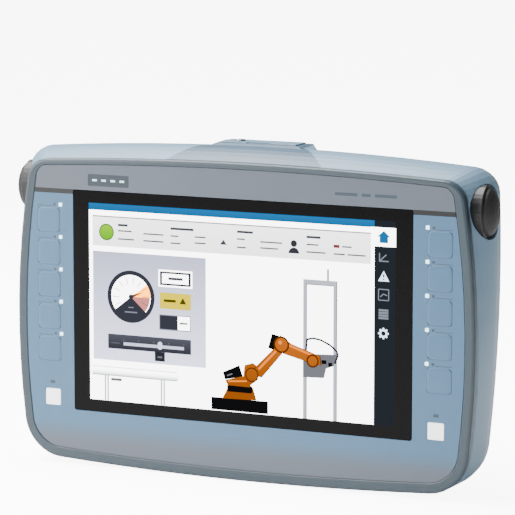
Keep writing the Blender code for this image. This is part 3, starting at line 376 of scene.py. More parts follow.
def lit(name, upper, lower=None, low=0.0, high=1.0):
    """Return a glowing display material, with an optional fade between two heights."""
    picture = bpy.context.scene.touch_panel_picture
    made, tree, shader = principled(name)
    lower = upper if lower is None else lower
    node = place_group(tree, "glow", Upper_Colour=tuple(upper), Lower_Colour=tuple(lower),
                       Low=low, High=high)
    shader.inputs["Base Color"].default_value = (0.0, 0.0, 0.0, 1.0)
    shader.inputs["Roughness"].default_value = 0.3
    shader.inputs["Specular IOR Level"].default_value = 0.0
    tree.links.new(node.outputs["Colour"], shader.inputs["Emission Color"])
    shader.inputs["Emission Strength"].default_value = picture.glow
    return made


def assign(nodes, finish):
    """Give CAD nodes a material."""
    for name in nodes:
        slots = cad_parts[name].material_slots
        if not slots:
            raise RuntimeError(f"{name} has no material slot")
        for slot in slots:
            slot.material = finish


# ---------------------------------------------------------------- shapes

def screen(x, z):
    """Return frame coordinates of a point given in millimetres from the display's middle."""
    return x * MM, SCREEN_Z + z * MM


def finish_mesh(name, mesh, finish, body=BODY, smooth=True):
    """Make an object from a built mesh and let it ride a body."""
    data = bpy.data.meshes.new(name)
    bmesh.ops.recalc_face_normals(mesh, faces=mesh.faces)
    mesh.to_mesh(data)
    mesh.free()
    data.materials.append(finish)
    if smooth:
        data.shade_smooth()
    made = bpy.data.objects.new(name, data)
    bpy.context.scene.collection.objects.link(made)
    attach(made, body)
    return made


def add_tile(mesh, outline, front, thickness):
    """Add a thin plate with the outline, given in millimetres, facing the user."""
    near = [mesh.verts.new((screen(x, z)[0], front, screen(x, z)[1])) for x, z in outline]
    far = [mesh.verts.new((vert.co.x, front + thickness, vert.co.z)) for vert in near]
    mesh.faces.new(near)
    mesh.faces.new(list(reversed(far)))
    for index, vert in enumerate(near):
        after = (index + 1) % len(near)
        mesh.faces.new((vert, far[index], far[after], near[after]))


def tiles(name, outlines, finish, level, base=None):
    """Make one object of thin plates lying on the glass, or on another front plane."""
    ground = GLASS_LOW.y if base is None else base
    mesh = bmesh.new()
    for outline in outlines:
        add_tile(mesh, outline, ground - level * LEAF, LEAF)
    return finish_mesh(name, mesh, finish, smooth=False)


def bar(left, bottom, right, top, radius=0.0, steps=4):
    """Return the outline of a rectangle, with rounded corners if a radius is given."""
    if radius <= 0.0:
        return [(left, bottom), (right, bottom), (right, top), (left, top)]
    centres = ((right - radius, top - radius, 0), (left + radius, top - radius, 1),
               (left + radius, bottom + radius, 2), (right - radius, bottom + radius, 3))
    outline = []
    for x, z, quarter in centres:
        for step in range(steps + 1):
            turn = math.pi / 2 * (quarter + step / steps)
            outline.append((x + radius * math.cos(turn), z + radius * math.sin(turn)))
    return outline


def disc(x, z, radius, steps=32):
    """Return the outline of a disc."""
    return sector(x, z, 0.0, radius, 0.0, math.tau * (steps - 1) / steps, steps - 1)


def sector(x, z, inner, outer, start, stop, steps=16):
    """Return the outline of a disc or ring sector between two turns."""
    def point(radius, step):
        turn = start + (stop - start) * step / steps
        return x + radius * math.cos(turn), z + radius * math.sin(turn)
    outline = [point(outer, step) for step in range(steps + 1)]
    if inner > 0.0:
        outline += [point(inner, step) for step in range(steps, -1, -1)]
    return outline


def pie(x, z, radius, start, stop, steps=14):
    """Return the outline of a pie slice."""
    return [(x, z), *sector(x, z, 0.0, radius, start, stop, steps)]


def stroke(x1, z1, x2, z2, width):
    """Return the outline of a straight line of some width."""
    along = Vector((x2 - x1, z2 - z1)).normalized() * (width / 2)
    side = Vector((-along.y, along.x))
    return [(x1 - side.x, z1 - side.y), (x2 - side.x, z2 - side.y),
            (x2 + side.x, z2 + side.y), (x1 + side.x, z1 + side.y)]


def ring_strokes(x, z, radius, width, pieces=24):
    """Return the short strokes that make a thin ring."""
    outlines = []
    for piece in range(pieces):
        start = math.tau * piece / pieces
        outlines.append(sector(x, z, radius - width / 2, radius + width / 2, start,
                               start + math.tau / pieces, 2))
    return outlines


def frame_strokes(x, z, side, width):
    """Return the four strokes of a square frame."""
    half = side / 2
    corners = [(x - half, z - half), (x + half, z - half), (x + half, z + half),
               (x - half, z + half)]
    return [stroke(*start, *end, width)
            for start, end in zip(corners, corners[1:] + corners[:1])]


def loop_strokes(points, width):
    """Return the strokes of a bent line through the points."""
    return [stroke(*first, *second, width) for first, second in zip(points, points[1:])]


def grown_outline(points, margin):
    """Return an outline pushed away from its middle by a margin."""
    middle = Vector((sum(x for x, _ in points), sum(z for _, z in points))) / len(points)
    grown = []
    for x, z in points:
        away = (Vector((x, z)) - middle).normalized() * margin
        grown.append((x + away.x, z + away.y))
    return grown


# ---------------------------------------------------------------- key skins

def key_skin(name, finish, rise, steps):
    """Make a soft, low crown with a skirt over one key's place, clear of the film around it."""
    low, high = (Vector(corner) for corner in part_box(name))
    centre = (low + high) / 2
    half_width = (high.x - low.x) / 2 + KEY_GROW
    half_height = (high.z - low.z) / 2 + KEY_GROW
    mesh = bmesh.new()
    rings = []
    for step in range(-1, steps + 1):
        share = max(step, 0) / steps
        inset = KEY_SLOPE * share
        height = rise * math.sin(share * math.pi / 2) if step >= 0 else -KEY_SKIRT
        outline = bar(-half_width / MM + inset, -half_height / MM + inset,
                      half_width / MM - inset, half_height / MM - inset, KEY_CORNER - inset / 2)
        rings.append([mesh.verts.new((centre.x + x * MM, FOIL_LOW.y - 0.00001 - height,
                                      centre.z + z * MM)) for x, z in outline])
    for first, second in zip(rings, rings[1:]):
        for index, vert in enumerate(first):
            after = (index + 1) % len(first)
            mesh.faces.new((vert, first[after], second[after], second[index]))
    mesh.faces.new(rings[-1])
    made = finish_mesh(f"{name}_skin", mesh, finish, body=name)
    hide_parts(name)
    return made


LAMP_TINT = (0.72, 0.9, 1.0, 1.0)
LAMP_GLOW = 2.2
# glow strength that paints light into the unlit label lenses
LABEL_PAINTED_GLOW = 1.0
KEY_GROW = 0.22 * MM
KEY_SKIRT = 0.1 * MM
KEY_SLOPE = 1.6
KEY_CORNER = 2.4


# ---------------------------------------------------------------- the CAD pieces' finishes

class TOUCHPANEL_OT_case(bpy.types.Operator):
    """Finish the rear housing, front rim, rear cover and blanking cap"""
    bl_idname = "touch_panel.case"
    bl_label = "Case finishes"

    def execute(self, context):
        looks = context.scene.touch_panel_finishes
        shell = moulded("housing paint", looks.housing, looks.shell_roughness, looks.grain)
        # the housing colour gets painted shade on the raised pedestal
        paint_pedestal_shade(shell)
        rim = moulded("bezel paint", looks.bezel, looks.shell_roughness, looks.grain)
        cap = moulded("cap paint", [part * CAP_SHADE for part in looks.housing],
                      looks.shell_roughness, looks.grain)
        assign(["rear_housing"], shell)
        assign(["front_bezel"], rim)
        assign(["connection_cover", "blanking_cap"], cap)
        return {"FINISHED"}


def paint_pedestal_shade(finish):
    """Paint shade onto the boss on the top of the housing: a darker colour inside a tapered box stands in
    for the shade on its steeper face.
    """
    tree = finish.node_tree
    shader = tree.nodes["Principled BSDF"]
    split = add_node(tree, "ShaderNodeSeparateXYZ")
    tree.links.new(add_node(tree, "ShaderNodeTexCoord").outputs["Object"], split.inputs[0])
    sides = math_node(tree, "ABSOLUTE", split.outputs["X"])
    taper = add_node(tree, "ShaderNodeMapRange")
    tree.links.new(split.outputs["Y"], taper.inputs["Value"])
    for name, number in (("From Min", FOIL_LOW.y + PEDESTAL_START * MM),
                         ("From Max", FOIL_LOW.y + PEDESTAL_END * MM),
                         ("To Min", PEDESTAL_FRONT * MM), ("To Max", PEDESTAL_REAR * MM)):
        taper.inputs[name].default_value = number
    within = math_node(tree, "LESS_THAN", sides, taper.outputs["Result"])
    above = math_node(tree, "GREATER_THAN", split.outputs["Z"], SCREEN_Z + PEDESTAL_LEVEL * MM)
    pedestal_shade_mask = math_node(tree, "MULTIPLY", within, above)
    plain = shader.inputs["Base Color"].links[0].from_socket
    # painted shade: the colour is multiplied darker inside the mask, in place of the shade the light would
    # give the pedestal's face
    shaded = mix_colour(tree, 1.0, plain, PEDESTAL_PAINTED_SHADE, "MULTIPLY")
    tree.links.new(mix_colour(tree, pedestal_shade_mask, plain, shaded), shader.inputs["Base Color"])


PEDESTAL_START = 6.0
PEDESTAL_END = 26.0
PEDESTAL_FRONT = 49.0
PEDESTAL_REAR = 29.0
PEDESTAL_LEVEL = 84.5
# colour that paints shade onto the pedestal
PEDESTAL_PAINTED_SHADE = (0.34, 0.4, 0.44)


class TOUCHPANEL_OT_film(bpy.types.Operator):
    """Print the front film: key fields, silver bands, black line, marks, badge and dashes"""
    bl_idname = "touch_panel.film"
    bl_label = "Front film"

    def execute(self, context):
        looks = context.scene.touch_panel_finishes
        assign(["front_foil"], printed_film(looks))
        ink = moulded("film ink", tone(78, 100, 118), 0.5, 0.1)
        marks = []
        for side in (-1, 1):
            for row in range(KEY_ROWS):
                z = LAMP_TOP_Z - row * KEY_PITCH
                marks.append(around(side * MARK_X, z, 1.6, 1.4))
                marks.append(around(side * (MARK_X + 6.6), z - 0.9, 10.0, 0.3))
            marks.append(around(side * LABEL_MARK_X, LABEL_MARK_Z, 3.2, 1.8))
        tiles("film_marks", marks, ink, 1, FOIL_LOW.y)
        badge = moulded("badge ink", looks.badge, 0.4, 0.1)
        tiles("badge_field", [bar(-98.0, 68.4, -71.0, 75.4, 0.8)], badge, 1, FOIL_LOW.y)
        pale = moulded("badge pale", tone(214, 232, 236), 0.4, 0.1)
        spots = [around(-93.5 + 6.0 * index, 71.9, 3.0, 1.2) for index in range(4)]
        tiles("badge_spots", spots, pale, 2, FOIL_LOW.y)
        dashes = []
        for left, right in DASHES:
            dashes.append(bar(left, 71.4, right, 73.2, 0.5, 2))
        tiles("model_dashes", dashes, ink, 1, FOIL_LOW.y)
        return {"FINISHED"}


class TOUCHPANEL_OT_keys(bpy.types.Operator):
    """Form the ten membrane keys, their lamps and the four corner label windows"""
    bl_idname = "touch_panel.keys"
    bl_label = "Keys, lamps and labels"

    def execute(self, context):
        looks = context.scene.touch_panel_finishes
        detail = context.scene.touch_panel_detail
        skin = moulded("key film", looks.film, 0.38, 0.12, 3400.0, 0.02)
        for side in ("left", "right"):
            for row in range(1, KEY_ROWS + 1):
                key_skin(f"key_{side}_{row}", skin, detail.key_rise, detail.key_steps)
        lamp = moulded("lamp guide", tone(224, 240, 248), 0.25, 0.05)
        glow = lamp.node_tree.nodes["Principled BSDF"]
        glow.inputs["Emission Color"].default_value = LAMP_TINT
        glow.inputs["Emission Strength"].default_value = LAMP_GLOW
        assign(["lamp_guide_left", "lamp_guide_right"], lamp)
        # painted light: the label lens has no lamp but is given a white glow so the label windows look
        # brighter
        lens = moulded("label lens", (0.93, 0.94, 0.95), 0.3, 0.05)
        glow = lens.node_tree.nodes["Principled BSDF"]
        glow.inputs["Emission Color"].default_value = (1.0, 1.0, 1.0, 1.0)
        glow.inputs["Emission Strength"].default_value = LABEL_PAINTED_GLOW
        card = moulded("label card", tone(240, 240, 238), 0.6, 0.1)
        assign(["label_window_left", "label_window_right"], lens)
        assign(["label_strip_left", "label_strip_right"], card)
        return {"FINISHED"}


class TOUCHPANEL_OT_rubber(bpy.types.Operator):
    """Finish the enabling buttons' rubber, their collars, the port cover and the seals"""
    bl_idname = "touch_panel.rubber"
    bl_label = "Rubber pieces"

    def execute(self, context):
        looks = context.scene.touch_panel_finishes
        rubber = moulded("button rubber", looks.rubber, 0.62, 0.12, 1800.0, 0.15)
        assign(["enabling_button_left", "enabling_button_right"], rubber)
        collar = moulded("collar plastic", tone(16, 15, 18), 0.5, 0.25)
        assign(["enabling_collar_left", "enabling_collar_right"], collar)
        seal = moulded("seal rubber", tone(30, 30, 33), 0.6, 0.3, 1800.0, 0.1)
        assign(["port_cover", "cover_seal", "housing_seal", "cable_gland_insert"], seal)
        return {"FINISHED"}


class TOUCHPANEL_OT_hardware(bpy.types.Operator):
    """Finish the screws, the cable gland, the brackets and the rating plate"""
    bl_idname = "touch_panel.hardware"
    bl_label = "Hardware"

    def execute(self, context):
        steel = brushed("screw steel", tone(176, 178, 182), 0.3, 1800.0)
        screws = [f"housing_screw_{index}" for index in range(1, 7)]
        screws += [f"cover_screw_{index}" for index in range(1, 5)]
        assign([*screws, "cap_screw"], steel)
        sheet = brushed("zinc plate", tone(168, 172, 176), 0.35, 500.0)
        assign(["display_bracket", "shield_plate"], sheet)
        dark = moulded("dark plastic", tone(46, 48, 52), 0.45, 0.3)
        assign(["cable_gland_body", "cable_gland_nut", "cable_gland_locknut", "service_socket"], dark)
        card = brushed("rating foil", tone(206, 208, 210), 0.12, 700.0)
        assign(["rating_plate"], card)
        return {"FINISHED"}


class TOUCHPANEL_OT_electronics(bpy.types.Operator):
    """Finish the boards, the display module, the switches and the wiring inside"""
    bl_idname = "touch_panel.electronics"
    bl_label = "Electronics"

    def execute(self, context):
        board = moulded("circuit board", tone(26, 92, 58), 0.35, 0.25, 900.0, 0.3, coat=0.3)
        assign(["main_board", "connection_board", "key_board_left", "key_board_right"], board)
        module = moulded("display module", tone(70, 72, 76), 0.4, 0.2)
        assign(["display_module"], module)
        switch = moulded("switch plastic", tone(38, 40, 44), 0.4, 0.3)
        assign(["enabling_switch_left", "enabling_switch_right"], switch)
        terminal = moulded("terminal plastic", tone(60, 118, 74), 0.42, 0.3)
        assign(["terminal_block"], terminal)
        cable = moulded("flat cable", tone(196, 198, 200), 0.4, 0.2)
        assign(["flat_cable"], cable)
        return {"FINISHED"}


KEY_ROWS = 5
KEY_PITCH = 19.27
LAMP_TOP_Z = 56.2
MARK_X = 120.3
LABEL_MARK_X = 122.5
LABEL_MARK_Z = -50.0
CAP_SHADE = 0.94
DASHES = ((60.0, 74.0), (76.5, 82.0), (84.5, 98.0))


def around(x, z, width, height):
    """Return a rectangle's outline from its middle and sides."""
    return bar(x - width / 2, z - height / 2, x + width / 2, z + height / 2)


def printed_film(looks):
    """Return the film's material, with bands placed by height above the display's middle."""
    made, tree, shader = principled("printed film")
    node = place_group(tree, "moulded", Colour=(1.0, 1.0, 1.0), Roughness=0.4,
                       Grain_Scale=3400.0, Mottle=0.02)
    split = add_node(tree, "ShaderNodeSeparateXYZ")
    tree.links.new(add_node(tree, "ShaderNodeTexCoord").outputs["Object"], split.inputs[0])
    height = split.outputs["Z"]
    foot = ramp(tree, height, SCREEN_Z - 86 * MM, SCREEN_Z - 70 * MM)
    body = mix_colour(tree, foot, looks.band, looks.film)
    head = math_node(tree, "GREATER_THAN", height, SCREEN_Z + LINE_TOP * MM)
    banded = mix_colour(tree, head, body, looks.band)
    above = math_node(tree, "GREATER_THAN", height, SCREEN_Z + LINE_BOTTOM * MM)
    below = math_node(tree, "LESS_THAN", height, SCREEN_Z + LINE_TOP * MM)
    line = math_node(tree, "MULTIPLY", above, below)
    inked = mix_colour(tree, line, banded, LINE_INK)
    tree.links.new(mix_colour(tree, 1.0, inked, node.outputs["Colour"], "MULTIPLY"),
                   shader.inputs["Base Color"])
    tree.links.new(node.outputs["Roughness"], shader.inputs["Roughness"])
    add_bump(tree, shader, node.outputs["Height"], 0.12)
    return made


LINE_INK = (0.002, 0.002, 0.003)
LINE_TOP = 65.8
LINE_BOTTOM = 63.0


# ---------------------------------------------------------------- the picture on the display

class TOUCHPANEL_OT_glass(bpy.types.Operator):
    """Finish the black glass and lay the picture's plain fields on it"""
    bl_idname = "touch_panel.glass"
    bl_label = "Glass and picture fields"

    def execute(self, context):
        looks = context.scene.touch_panel_finishes
        picture = context.scene.touch_panel_picture
        glass = moulded("surround glass", looks.surround, 0.22, 0.03, 3000.0, 0.1)
        glass.node_tree.nodes["Principled BSDF"].inputs["Specular IOR Level"].default_value = 0.08
        assign(["touch_glass"], glass)
        tiles("picture_ground", [bar(-97.3, -58.3, 97.3, 58.3)], lit("picture paper", picture.paper), 1)
        tiles("title_bar", [bar(-97.5, 54.5, 84.5, 58.5)],
              lit("title blue", picture.title, [part * 0.8 for part in picture.title],
                  SCREEN_Z + 54 * MM, SCREEN_Z + 58.5 * MM), 2)
        tiles("status_header", [bar(-95.0, 33.5, 82.3, 51.2)],
              lit("header grey", hue(231, 231, 231), hue(228, 228, 229), SCREEN_Z + 33 * MM,
                  SCREEN_Z + 51 * MM), 2)
        tiles("status_header_edge", [bar(-95.0, 50.6, 82.3, 51.4)],
              lit("header edge", hue(176, 178, 182)), 3)
        tiles("side_menu", [bar(84.5, -58.5, 97.5, 58.5)], lit("menu dark", picture.menu), 2)
        tiles("menu_tab", [bar(82.2, 43.9, 97.5, 54.7)], lit("tab white", hue(246, 247, 248)), 3)
        tiles("settings_panel", [bar(-94.9, -34.0, -21.2, 30.3)],
              lit("settings grey", hue(198, 200, 208), hue(220, 221, 226),
                  SCREEN_Z - 34 * MM, SCREEN_Z + 30 * MM), 2)
        return {"FINISHED"}


class TOUCHPANEL_OT_status(bpy.types.Operator):
    """Draw the status row: a lamp, plain dashes in place of words, an arrow and a figure"""
    bl_idname = "touch_panel.status"
    bl_label = "Status row"

    def execute(self, context):
        ink = lit("status ink", hue(118, 122, 130))
        bold = lit("status ink bold", hue(84, 88, 98))
        tiles("status_dashes", [stroke(x1, z, x2, z, 0.9) for x1, z, x2 in STATUS_DASHES], ink, 3)
        tiles("status_titles", [stroke(x1, z, x2, z, 1.4) for x1, z, x2 in STATUS_TITLES], bold, 3)
        tiles("status_lamp", [disc(-85.8, 41.8, 4.5)],
              lit("lamp green", (0.06, 0.15, 0.0), (0.025, 0.1, 0.0), SCREEN_Z + 37 * MM,
                  SCREEN_Z + 46 * MM), 3)
        tiles("status_lamp_rim", ring_strokes(-85.8, 41.8, 4.6, 0.7), lit("lamp rim", hue(96, 140, 62)), 4)
        tiles("status_red_mark", [bar(59.4, 41.4, 63.1, 43.2)], lit("mark red", hue(150, 66, 74)), 3)
        tiles("status_arrow", [[(-12.1, 38.9), (-7.6, 38.9), (-9.85, 41.9)]], bold, 3)
        tiles("status_figure", [disc(34.7, 42.3, 2.0), [*pie(34.7, 36.6, 3.4, 0.0, math.pi)[1:]]],
              lit("figure dark", hue(60, 62, 70)), 3)
        return {"FINISHED"}


STATUS_DASHES = ((-78.2, 43.0, -69.2), (-78.2, 38.2, -67.6), (-61.6, 42.2, -48.5),
                 (-61.6, 38.1, -48.5), (-43.9, 42.0, -38.7), (-43.9, 37.8, -37.4),
                 (-28.3, 42.3, -21.2), (-28.3, 38.8, -21.2), (-1.2, 42.8, 3.9), (-1.2, 38.0, 4.5),
                 (13.5, 42.0, 27.4), (13.5, 38.5, 24.9), (42.5, 42.3, 50.0), (42.5, 38.0, 54.4),
                 (64.6, 42.3, 70.5), (59.4, 37.9, 66.4), (68.0, 37.9, 79.1))
STATUS_TITLES = ((-78.2, 46.4, -71.8), (-43.9, 46.3, -28.9), (-1.2, 47.0, 9.0), (42.5, 46.6, 51.3))


class TOUCHPANEL_OT_menu(bpy.types.Operator):
    """Draw the side menu's signs: house, axis, warning, chart, grid and gear"""
    bl_idname = "touch_panel.menu"
    bl_label = "Side menu signs"

    def execute(self, context):
        picture = context.scene.touch_panel_picture
        sign = lit("menu sign", hue(222, 226, 230))
        faint = lit("menu sign faint", hue(150, 156, 164))
        house = lit("house blue", (0.0012, 0.028, 0.07))
        tiles("menu_house", [bar(87.6, 45.9, 92.8, 49.6), [(86.2, 49.4), (94.2, 49.4), (90.2, 52.9)]],
              house, 4)
        centre = MENU_X
        axis = [stroke(centre - 2.6, 35.4, centre - 2.6, 40.2, 0.7),
                stroke(centre - 2.9, 35.6, centre + 3.0, 35.6, 0.7),
                stroke(centre - 2.4, 35.8, centre + 1.6, 39.4, 0.7)]
        tiles("menu_axis", axis, faint, 3)
        tiles("menu_warning", [[(centre - 3.4, 24.2), (centre + 3.4, 24.2), (centre, 30.1)]], sign, 3)
        tiles("menu_warning_cut", [stroke(centre, 26.4, centre, 28.2, 0.9),
                                   stroke(centre, 24.9, centre, 25.7, 0.9)],
              lit("menu cut", picture.menu), 4)
        chart = [*frame_strokes(centre, 16.5, 6.2, 0.6), stroke(centre - 2.0, 15.2, centre - 0.2, 17.0, 0.6),
                 stroke(centre - 0.2, 17.0, centre + 2.2, 16.2, 0.6)]
        tiles("menu_chart", chart, faint, 3)
        rows = [bar(centre - 3.0, 2.6 + 1.5 * row, centre + 3.0, 3.8 + 1.5 * row) for row in range(4)]
        tiles("menu_grid", rows, faint, 3)
        teeth = [stroke(centre + 2.1 * math.cos(turn), -5.5 + 2.1 * math.sin(turn),
                        centre + 3.2 * math.cos(turn), -5.5 + 3.2 * math.sin(turn), 1.0)
                 for turn in [math.tau * index / 8 for index in range(8)]]
        tiles("menu_gear", [*ring_strokes(centre, -5.5, 1.9, 1.1), *teeth], sign, 3)
        return {"FINISHED"}


MENU_X = 90.2


class TOUCHPANEL_OT_controls(bpy.types.Operator):
    """Draw the drawn controls: dial, fields, toggle and slider"""
    bl_idname = "touch_panel.controls"
    bl_label = "Drawn controls"

    def execute(self, context):
        picture = context.scene.touch_panel_picture
        dark = lit("control dark", hue(86, 88, 98))
        deep = lit("control deep", hue(60, 63, 75))
        white = lit("control white", hue(246, 246, 247))
        tiles("dial_rim", [disc(DIAL_X, DIAL_Z, 15.5, 48)], deep, 3)
        tiles("dial_face", [disc(DIAL_X, DIAL_Z, 12.9, 48)], white, 4)
        tiles("dial_warm", [pie(DIAL_X, DIAL_Z, 12.9, 0.0, 0.62)], lit("dial glow", hue(252, 226, 180)), 5)
        tiles("dial_red", [pie(DIAL_X, DIAL_Z, 12.4, -0.84, 0.02)], lit("dial red", (0.16, 0.05, 0.045)), 5)
        ticks = [stroke(DIAL_X + 7.6 * math.cos(turn), DIAL_Z + 7.6 * math.sin(turn),
                        DIAL_X + 11.8 * math.cos(turn), DIAL_Z + 11.8 * math.sin(turn), 0.4)
                 for turn in [math.radians(208 - 25.6 * index) for index in range(10)]]
        tiles("dial_ticks", ticks, lit("dial tick", hue(138, 138, 146)), 6)
        tiles("dial_foot", [pie(DIAL_X, DIAL_Z, 13.4, math.radians(218), math.radians(318))], deep, 7)
        tiles("dial_foot_dashes", [stroke(-71.6, -1.8, -68.2, -1.8, 0.6),
                                   stroke(-74.0, -4.6, -65.8, -4.6, 0.8)],
              lit("dial dash", hue(150, 152, 162)), 8)
        tiles("dial_needle", [[(DIAL_X - 0.6, DIAL_Z + 0.9), (DIAL_X + 0.3, DIAL_Z - 0.9),
                               (DIAL_X + 8.6, DIAL_Z + 3.4)]], lit("needle", (0.045, 0.018, 0.006)), 8)
        tiles("dial_hub", [disc(DIAL_X, DIAL_Z, 1.5, 24)], deep, 9)
        tiles("value_rim", [bar(-51.9, 11.8, -29.8, 21.9)], white, 3)
        tiles("value_frame", [bar(-50.9, 12.8, -30.8, 20.9)], deep, 4)
        tiles("value_field", [bar(-49.4, 14.0, -32.3, 19.7)], white, 5)
        tiles("value_dashes", [stroke(-45.4, 16.9, -36.0, 16.9, 1.6)], dark, 6)
        tiles("warning_field", [bar(-50.9, -1.0, -30.8, 8.5)], lit("warning yellow", picture.warning), 3)
        ink = lit("warning ink", (0.012, 0.01, 0.0))
        tiles("warning_dashes", [stroke(-48.4, 3.8, -40.6, 3.8, 1.5)], ink, 4)
        tiles("warning_sign", [[(-38.2, 2.4), (-33.8, 2.4), (-36.0, 6.0)]], ink, 4)
        tiles("toggle_rim", [bar(-51.4, -13.6, -31.0, -4.5)], lit("toggle rim", hue(150, 152, 164)), 3)
        tiles("toggle_on", [bar(-50.9, -13.0, -39.3, -5.0)], deep, 4)
        tiles("toggle_off", [bar(-39.3, -13.0, -31.5, -5.0)], white, 4)
        tiles("toggle_dashes", [stroke(-38.2, -9.0, -33.0, -9.0, 1.2)],
              lit("toggle dash", hue(150, 152, 160)), 5)
        tiles("slider_bar", [bar(-85.2, -27.0, -30.8, -18.3)],
              lit("slider dark", hue(96, 98, 110), hue(58, 60, 70), SCREEN_Z - 27 * MM,
                  SCREEN_Z - 18.3 * MM), 3)
        tiles("slider_track", [bar(-74.9, -24.6, -35.4, -22.8)], lit("track", hue(206, 208, 214)), 4)
        tiles("slider_ticks", [stroke(-74.9 + 9.87 * index, -21.9, -74.9 + 9.87 * index, -20.9, 0.3)
                               for index in range(5)], lit("track tick", hue(140, 142, 154)), 4)
        tiles("slider_dashes", [stroke(-83.2, -23.6, -77.6, -23.6, 0.5)],
              lit("slider dash", hue(120, 122, 134)), 4)
        tiles("slider_knob", [bar(-52.4, -25.4, -49.6, -20.8, 1.2)], lit("knob", hue(214, 216, 222)), 5)
        tiles("slider_value", [bar(-54.4, -32.4, -47.8, -27.0)], lit("value dark", hue(48, 50, 58)), 5)
        tiles("slider_value_dashes", [stroke(-52.6, -29.9, -49.6, -29.9, 1.1)],
              lit("value dash", hue(130, 132, 142)), 6)
        return {"FINISHED"}


DIAL_X = -69.9
DIAL_Z = 4.5


class TOUCHPANEL_OT_machine(bpy.types.Operator):
    """Draw the machine: conveyor, robot arm, gripper and door frame"""
    bl_idname = "touch_panel.machine"
    bl_label = "Drawn machine"

    def execute(self, context):
        picture = context.scene.touch_panel_picture
        arm = lit("arm orange", picture.machine, [part * 0.5 for part in picture.machine],
                  SCREEN_Z - 45 * MM, SCREEN_Z - 8 * MM)
        bright = lit("arm light", [part * 2.2 for part in picture.machine])
        edge = lit("arm shade", [part * 0.16 for part in picture.machine])
        grey = lit("machine grey", hue(132, 134, 140))
        light = lit("machine light", hue(222, 223, 226))
        black = lit("machine black", hue(14, 14, 16))
        dark = lit("machine dark", hue(58, 60, 66))
        tiles("conveyor", [bar(-96.0, -43.2, -39.0, -38.3, 1.6)],
              lit("conveyor light", hue(246, 246, 247), hue(214, 216, 219), SCREEN_Z - 43 * MM,
                  SCREEN_Z - 40 * MM), 2)
        tiles("conveyor_edges", [stroke(-96.0, -38.2, -40.0, -38.2, 0.35),
                                 stroke(-96.0, -43.2, -40.0, -43.2, 0.5)],
              lit("conveyor edge", hue(190, 192, 196)), 3)
        legs = [stroke(x, -58.2, x, -43.2, 1.0) for x in (-87.2, -85.4, -50.2, -48.4)]
        tiles("conveyor_legs", legs, lit("leg grey", hue(200, 202, 206)), 2)
        tiles("conveyor_motor", [bar(-83.5, -46.2, -76.2, -44.6, 0.7)], grey, 3)
        tiles("robot_base", [bar(-17.7, -57.9, 18.5, -50.5)], black, 2)
        tiles("robot_foot", [ROBOT_FOOT], arm, 3)
        tiles("robot_waist", [bar(-7.6, -46.6, 8.6, -42.2, 1.2)], black, 4)
        tiles("robot_turret", [ROBOT_TURRET], arm, 5)
        tiles("robot_turret_light", [stroke(-7.0, -40.6, 5.0, -39.6, 0.9)], bright, 6)
        tiles("robot_motor", [ROBOT_MOTOR], black, 5)
        tiles("robot_motor_light", [stroke(-7.6, -37.3, -4.2, -36.0, 0.8)], grey, 6)
        tiles("robot_shoulder", [ROBOT_SHOULDER], arm, 5)
        tiles("robot_arm_shade", [grown_outline(ROBOT_ARM, 0.6)], edge, 6)
        tiles("robot_arm", [ROBOT_ARM], arm, 7)
        tiles("robot_arm_light", [stroke(12.6, -32.0, 23.6, -20.6, 1.3)], bright, 8)
        tiles("robot_shoulder_cap", [disc(8.3, -35.6, 3.9, 24)], arm, 8)
        tiles("robot_shoulder_ring", ring_strokes(8.3, -35.6, 3.9, 0.7), edge, 9)
        tiles("robot_forearm_shade", [grown_outline(ROBOT_FOREARM, 0.6)], edge, 6)
        tiles("robot_forearm", [ROBOT_FOREARM], arm, 7)
        tiles("robot_forearm_light", [stroke(31.0, -16.4, 46.0, -21.2, 1.2)], bright, 8)
        tiles("robot_elbow", [disc(27.0, -16.6, 4.6, 24)], arm, 8)
        tiles("robot_elbow_ring", ring_strokes(27.0, -16.6, 4.4, 1.0), edge, 9)
        tiles("robot_elbow_light", [disc(26.2, -15.4, 1.2, 16)], bright, 9)
        tiles("robot_box", [ROBOT_BOX], black, 4)
        tiles("gripper", [GRIPPER_PLATE], grey, 5)
        tiles("gripper_loop", loop_strokes(GRIPPER_LOOP, 1.2), dark, 6)
        tiles("robot_wrist", [disc(46.6, -24.6, 3.6, 24)], arm, 8)
        tiles("robot_wrist_ring", ring_strokes(46.6, -24.6, 3.4, 0.9), edge, 9)
        tiles("gripper_marks", [bar(52.2, -25.8, 55.2, -23.6), bar(56.4, -27.0, 58.8, -24.8)], black, 8)
        posts = [bar(40.6, -58.3, 42.4, 22.3), bar(59.4, -58.3, 61.2, 22.3), bar(40.6, 19.6, 61.2, 22.3)]
        tiles("door_frame", posts, lit("door light", hue(192, 194, 198)), 3)
        sides = [bar(42.4, -58.3, 43.0, 19.6), bar(61.2, -58.3, 61.8, 22.3), bar(42.4, 19.2, 59.4, 19.7),
                 bar(55.4, 22.3, 56.6, 28.9)]
        tiles("door_frame_shade", sides, lit("door shade", hue(140, 142, 148)), 4)
        return {"FINISHED"}


